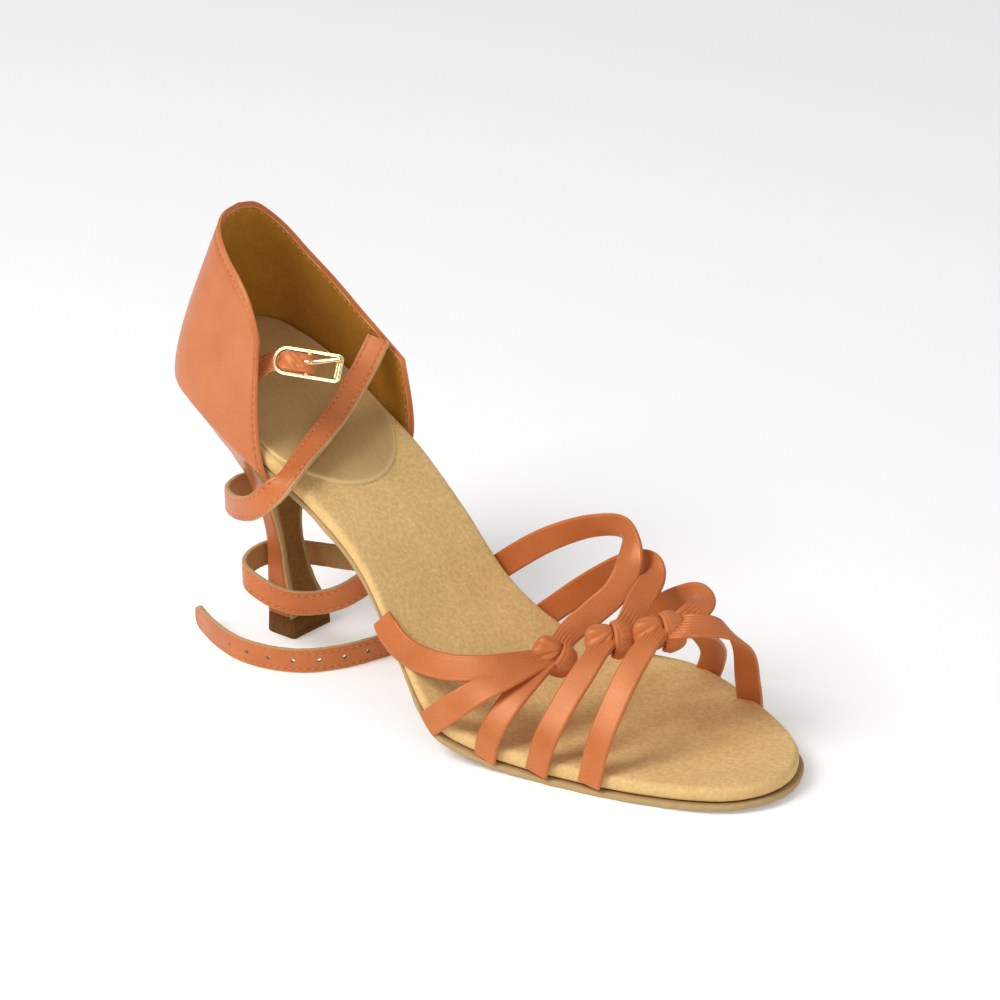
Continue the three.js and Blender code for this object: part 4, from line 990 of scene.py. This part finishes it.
# The ankle strap and the buckle
def make_ankle_strap():
    """The long strap: satin outside, suede inside, cut pale edges, two stitch rows and a row of punched
    holes near its tip, where its width closes in to a blunt point."""
    sides = [ANKLE_SIDE[k] if k < len(ANKLE_SIDE) else (0, 0, -1) for k in range(len(ANKLE_PATH))]
    line = strap_line(ANKLE_PATH, sides, 0.6)
    middle, across, face, s = line
    x, y, side = cut_section(ANKLE_WIDTH / 2, ANKLE_THICK / 2, 0.28, 38)
    row = ANKLE_WIDTH / 2 - 1.25
    shape = 1 - 0.4 * smoothstep(s, s[-1] - 3.5, s[-1]) ** 2
    dip, hole = 0, 0
    for at in (row, -row):
        d, h = seam_dips(s, np.broadcast_to(x, (len(s), len(x))), at)
        dip, hole = dip + d, hole + h
    crown = 0.1 * (1 - (x / (ANKLE_WIDTH / 2)) ** 2)
    y_all = np.broadcast_to(y, (len(s), len(x))) + np.sign(y) * (side != 1) * (crown - 0.2 * dip)
    wave = wobble(len(s), 21, 30)[:, None] * 0.12
    x_all = x * shape[:, None] + (side == 1) * np.sign(x) * wobble(len(s), 22, 2)[:, None] * 0.05
    finish = np.broadcast_to(np.maximum(side[:-1], 0), (len(s) - 1, len(x) - 1))
    # Painted shade: the satin face is darkened at the needle holes of both stitch rows.
    body = sweep(line, x_all, y_all + wave, finish, hole=hole * (side != 1))
    rings = body["points"].reshape(len(s), -1, 3)
    ends = [lid(rings[0]), lid(rings[-1])]
    for end in ends:
        end["finish"] = np.full_like(end["finish"], 1)
    made = make_piece("ankle_strap_band", [body, *ends], [SATIN, RAW_EDGE, STRAP_LINING],
                      stands_for=["ankle_strap"], sharp=60)
    holes_at = s[-1] - np.array(PUNCHED_FROM_TIP)
    punch(made, at_length(middle, s, holes_at), unit(at_length(face, s, holes_at)))
    threads = []
    for at in (row, -row):
        for way in (1, -1):
            lift = way * (ANKLE_THICK / 2 + 0.06 - 0.13)
            threads.append(stitches((middle + across * at + face * (lift + wave))[:-9], (face * way)[:-9]))
    tip = middle[-6] + np.linspace(-row, row, 30)[:, None] * across[-6]
    tip_face = np.broadcast_to(face[-6], tip.shape)
    threads.append(stitches(tip + face[-6] * (ANKLE_THICK / 2), tip_face, start=0.2))
    make_piece("ankle_strap_stitches", threads, [SEWING])


def punch(made, places, ways):
    """Holes through a strap: short cylinders are taken away from it, and the result is made its mesh."""
    a = np.linspace(0, 2 * np.pi, 19)
    side = unit(np.cross(ways, [0.0, 0.0, 1.0]))
    other = np.cross(side, ways)
    ring = PUNCH_RADIUS * (side[:, None] * np.cos(a)[:, None] + other[:, None] * np.sin(a)[:, None])
    levels = [places[:, None] + ring * r + ways[:, None] * h for r, h in ((0, -3), (1, -3), (1, 3), (0, 3))]
    cutter = make_piece("punch", [copies(np.stack(levels, 1))], [RAW_EDGE])
    cut = made.modifiers.new("holes", "BOOLEAN")
    cut.operation, cut.object, cut.solver = "DIFFERENCE", cutter, "EXACT"
    bpy.context.view_layer.update()
    result = bpy.data.meshes.new_from_object(made.evaluated_get(bpy.context.evaluated_depsgraph_get()))
    made.modifiers.clear()
    made.data = result
    bpy.data.objects.remove(cutter)


def in_buckle(a, b, f):
    """A place given along the tab, along the bar and out of the shoe, from the bar's middle."""
    a, b, f = np.broadcast_arrays(a, b, f)
    return BAR + a[..., None] * ALONG + b[..., None] * UP + f[..., None] * FACE


def make_buckle_tab():
    """The buckle's tab: it runs behind the frame to the bar, goes round it and comes back over itself as a
    puffed fold inside the frame's round end, gathered where it leaves the bar."""
    local = np.array([(-13, -2.9), (-7, -2.5), (-2.6, -2.35), (0.2, -1.95), (1.85, -0.7), (1.8, 0.8),
                      (0.3, 1.9), (-2.2, 1.75), (-5, 1.5), (-7.2, 0.9), (-8.3, -0.3), (-8.4, -1.5)])
    low = np.concatenate([[-1.2], np.zeros(len(local) - 1)])
    path = np.vstack([TAB_START, in_buckle(local[:, 0], low, local[:, 1])])
    line = strap_line(path, [(0, 0.1, 1)] + [tuple(UP)] * (len(path) - 1), 0.3)
    middle, across, face, s = line
    a = (middle - BAR) @ ALONG
    f = (middle - BAR) @ FACE
    fold = smoothstep(s, s[-1] - 14, s[-1] - 10)
    x, y = folded_section(96)
    gather = bell(a, 0.3, 1.8) * (f > -1.0)
    wide = TAB_WIDTH * (1 - 0.1 * gather - 0.22 * smoothstep(s, s[-1] - 4, s[-1]))
    thick = TAB_THICK * (1 + 0.9 * fold * bell(a, -4.6, 3.0))
    wrinkle = gather[:, None] * np.cos(2 * np.pi * (x * 3.5 / 1.7)) * 0.2
    crease = fold[:, None] * 0.16 * np.sin(x * 5.0 + a[:, None] * 1.4)
    y_all = y * thick[:, None] / 2 + np.sign(y) * (np.abs(x) < 0.96) * wrinkle + crease
    flat = 1 - smoothstep(s, 15, 18)
    x_all = x * wide[:, None] / 2
    dips = sum(seam_dips(s, x_all, at)[0] for at in (TAB_ROW, -TAB_ROW))
    y_all = y_all - np.sign(y) * 0.12 * dips * flat[:, None]
    body = sweep(line, x_all, y_all)
    rings = body["points"].reshape(len(s), -1, 3)
    make_piece("buckle_tab_fold", [body, lid(rings[0]), lid(rings[-1])], [SATIN],
               stands_for=["buckle_tab"], sharp=70)
    upto = int(np.searchsorted(s, 15.5))
    threads = [stitches((middle + across * at + face * 0.58)[:upto], face[:upto])
               for at in (TAB_ROW, -TAB_ROW)]
    make_piece("buckle_tab_stitches", threads, [SEWING])


def make_buckle_frame():
    """The gold frame: a round end towards the shoe and a square end away from it, whose flat cross piece is
    broader. Its section is a rounded strip with a shallow channel between two bright ridges."""
    left, right = -BAR_FROM_END + WIRE / 2, BUCKLE_LONG - BAR_FROM_END - WIRE / 2
    top = (BUCKLE_HIGH - WIRE) / 2
    corner = 1.1
    turn = np.linspace(-np.pi / 2, np.pi / 2, 40)
    bend = np.linspace(0, np.pi / 2, 9)
    pieces = [
        np.stack([np.full(40, right), np.linspace(-top + corner, top - corner, 40)], 1),
        np.stack([right - corner + corner * np.cos(bend), top - corner + corner * np.sin(bend)], 1),
        np.stack([np.linspace(right - corner, left + top, 60), np.full(60, top)], 1),
        np.stack([left + top - top * np.cos(turn[::-1]), top * np.sin(turn[::-1])], 1),
        np.stack([np.linspace(left + top, right - corner, 60), np.full(60, -top)], 1),
        np.stack([right - corner + corner * np.sin(bend), -top + corner - corner * np.cos(bend)], 1),
    ]
    plan = np.concatenate(pieces)
    plan = plan[np.concatenate([[True], np.linalg.norm(np.diff(plan, axis=0), axis=1) > 1e-6])]
    path = in_buckle(plan[:, 0], plan[:, 1], 0.0)
    closed = np.vstack([path[-2], path, path[1]])
    run = unit(closed[2:] - closed[:-2])
    inward = unit(np.cross(FACE, run))
    heart = in_buckle(np.array(0.0), 0.0, 0.0)
    inward = inward * np.sign(np.sum((heart - path) * inward, 1, keepdims=True))
    at_end = smoothstep(plan[:, 0], right - 1.4, right - 0.2)
    a = np.linspace(0, 2 * np.pi, 33)
    x = np.sign(np.cos(a)) * np.abs(np.cos(a)) ** 0.7
    y = np.sign(np.sin(a)) * np.abs(np.sin(a)) ** 0.6 * (1 - 0.3 * bell(x, 0, 0.42))
    x[-1], y[-1] = x[0], y[0]
    reach = np.where(x[None] > 0, WIRE / 2 + 1.1 * at_end[:, None], WIRE / 2) * x
    points = path[:, None] + inward[:, None] * reach[..., None] + FACE * (y * 0.6)[None, :, None]
    points[-1] = points[0]
    uv = np.stack(np.broadcast_arrays(a[None], lengths(path)[:, None]), -1)
    bar_path = in_buckle(np.zeros(20), np.linspace(-top, top, 20), 0.0)
    bar, bar_uv = tube(bar_path, 0.7, 0.7, np.broadcast_to(FACE, bar_path.shape), count=20, power=2)
    make_piece("buckle_ring", [grid(points, uv), grid(bar, bar_uv), lid(bar[0]), lid(bar[-1])], [GOLD],
               body="buckle", stands_for=["buckle_frame"], sharp=60)


def make_prong():
    """The prong: a tapering wire from its ring round the bar to the far corner of the square end."""
    a = np.array([-0.2, 0.9, 2.4, 5.2, 8.2, 10.6])
    b = np.array([0.2, 0.4, 0.7, 1.4, 2.2, 2.75])
    f = np.array([1.85, 1.95, 1.55, 1.3, 1.3, 1.3])
    path = catmull(in_buckle(a, b, f), np.linspace(0, 1, 80))
    thin = 0.68 - 0.2 * np.linspace(0, 1, 80) ** 1.5
    thin[:2] *= [0.5, 0.85]
    thin[-3:] *= [0.95, 0.8, 0.5]
    wire, wire_uv = tube(path, thin * 1.15, thin * 0.9, np.broadcast_to(FACE, path.shape), count=24)
    turn = np.linspace(0, 2 * np.pi, 61)
    loop = in_buckle(1.75 * np.cos(turn), 0.0 * turn, 1.75 * np.sin(turn))
    eye, eye_uv = tube(loop, 0.7, 0.55, unit(loop - BAR), count=20)
    eye[-1] = eye[0]
    make_piece("buckle_needle", [grid(wire, wire_uv), lid(wire[0]), lid(wire[-1]), grid(eye, eye_uv)],
               [GOLD], body="prong", stands_for=["buckle_prong"], sharp=60)


# Camera, light and floor
LIGHT_AIM, LIGHT_SIZE, KEY_POWER, FILL_POWER = (0.06, 0, 0.04), 0.6, 10.5, 1.6
FLOOR_HALF, FLOOR_GLOW, SKY_STRENGTH = 4, 0.25, 0.42


def make_camera():
    """The camera at the photograph's angle: its lens and shift give the photograph's framing."""
    data = bpy.data.cameras.new("camera")
    data.lens, data.sensor_width = CAMERA_LENS, 36.0
    data.shift_x, data.shift_y = CAMERA_SHIFT
    data.clip_start, data.clip_end = 0.05, 30
    camera = bpy.data.objects.new("camera", data)
    bpy.context.scene.collection.objects.link(camera)
    place = (CAMERA_AIM + CAMERA_DISTANCE * TOWARD + SHIFT) * MM
    turned = np.eye(4)
    turned[:3, 0], turned[:3, 1], turned[:3, 2], turned[:3, 3] = RIGHT, ABOVE, TOWARD, place
    camera.matrix_world = Matrix(turned.tolist())
    bpy.context.scene.camera = camera


def make_light(name, place, aim, size, power):
    """A square soft light at a place, turned to its aim."""
    data = bpy.data.lights.new(name, "AREA")
    data.shape, data.size, data.energy = "SQUARE", size, power
    light = bpy.data.objects.new(name, data)
    bpy.context.scene.collection.objects.link(light)
    light.location = place
    light.rotation_euler = (Vector(aim) - Vector(place)).to_track_quat("-Z", "Y").to_euler()


def make_studio():
    """A pale seamless floor, pale surroundings, a large key light from above and a low fill."""
    paper = Finish("floor_paper", roughness=0.9, specular=0.1)
    paper.set(paper.shader, "Emission Color", (1, 1, 1, 1))
    paper.set(paper.shader, "Emission Strength", FLOOR_GLOW)
    grain = paper.noise(paper.coords("Object"), 40.0, 3.0)
    paper.done(paper.mix(grain, (0.86, 0.86, 0.86), (0.88, 0.88, 0.88)))
    mesh = bpy.data.meshes.new("floor")
    corners = [(x * FLOOR_HALF, y * FLOOR_HALF, 0) for x, y in ((-1, -1), (1, -1), (1, 1), (-1, 1))]
    mesh.from_pydata(corners, [], [(0, 1, 2, 3)])
    mesh.materials.append(paper.material)
    floor = bpy.data.objects.new("floor", mesh)
    bpy.context.scene.collection.objects.link(floor)
    world = bpy.data.worlds.new("studio")
    world.use_nodes = True
    sky = world.node_tree.nodes["Background"].inputs
    sky["Color"].default_value = (1, 1, 1, 1)
    sky["Strength"].default_value = SKY_STRENGTH
    bpy.context.scene.world = world
    bpy.context.scene.view_settings.view_transform = "Standard"
    make_light("key", (-0.25, -0.75, 0.95), LIGHT_AIM, LIGHT_SIZE, KEY_POWER)
    make_light("fill", (0.85, -0.55, 0.45), LIGHT_AIM, LIGHT_SIZE, FILL_POWER)


make_camera()
make_studio()
make_insole()
make_outsole()
make_heel_pad()
make_heel()
make_top_lift()
make_counter()
for leg in LEGS:
    make_leg(leg)
make_knots()
make_ankle_strap()
make_buckle_tab()
make_buckle_frame()
make_prong()
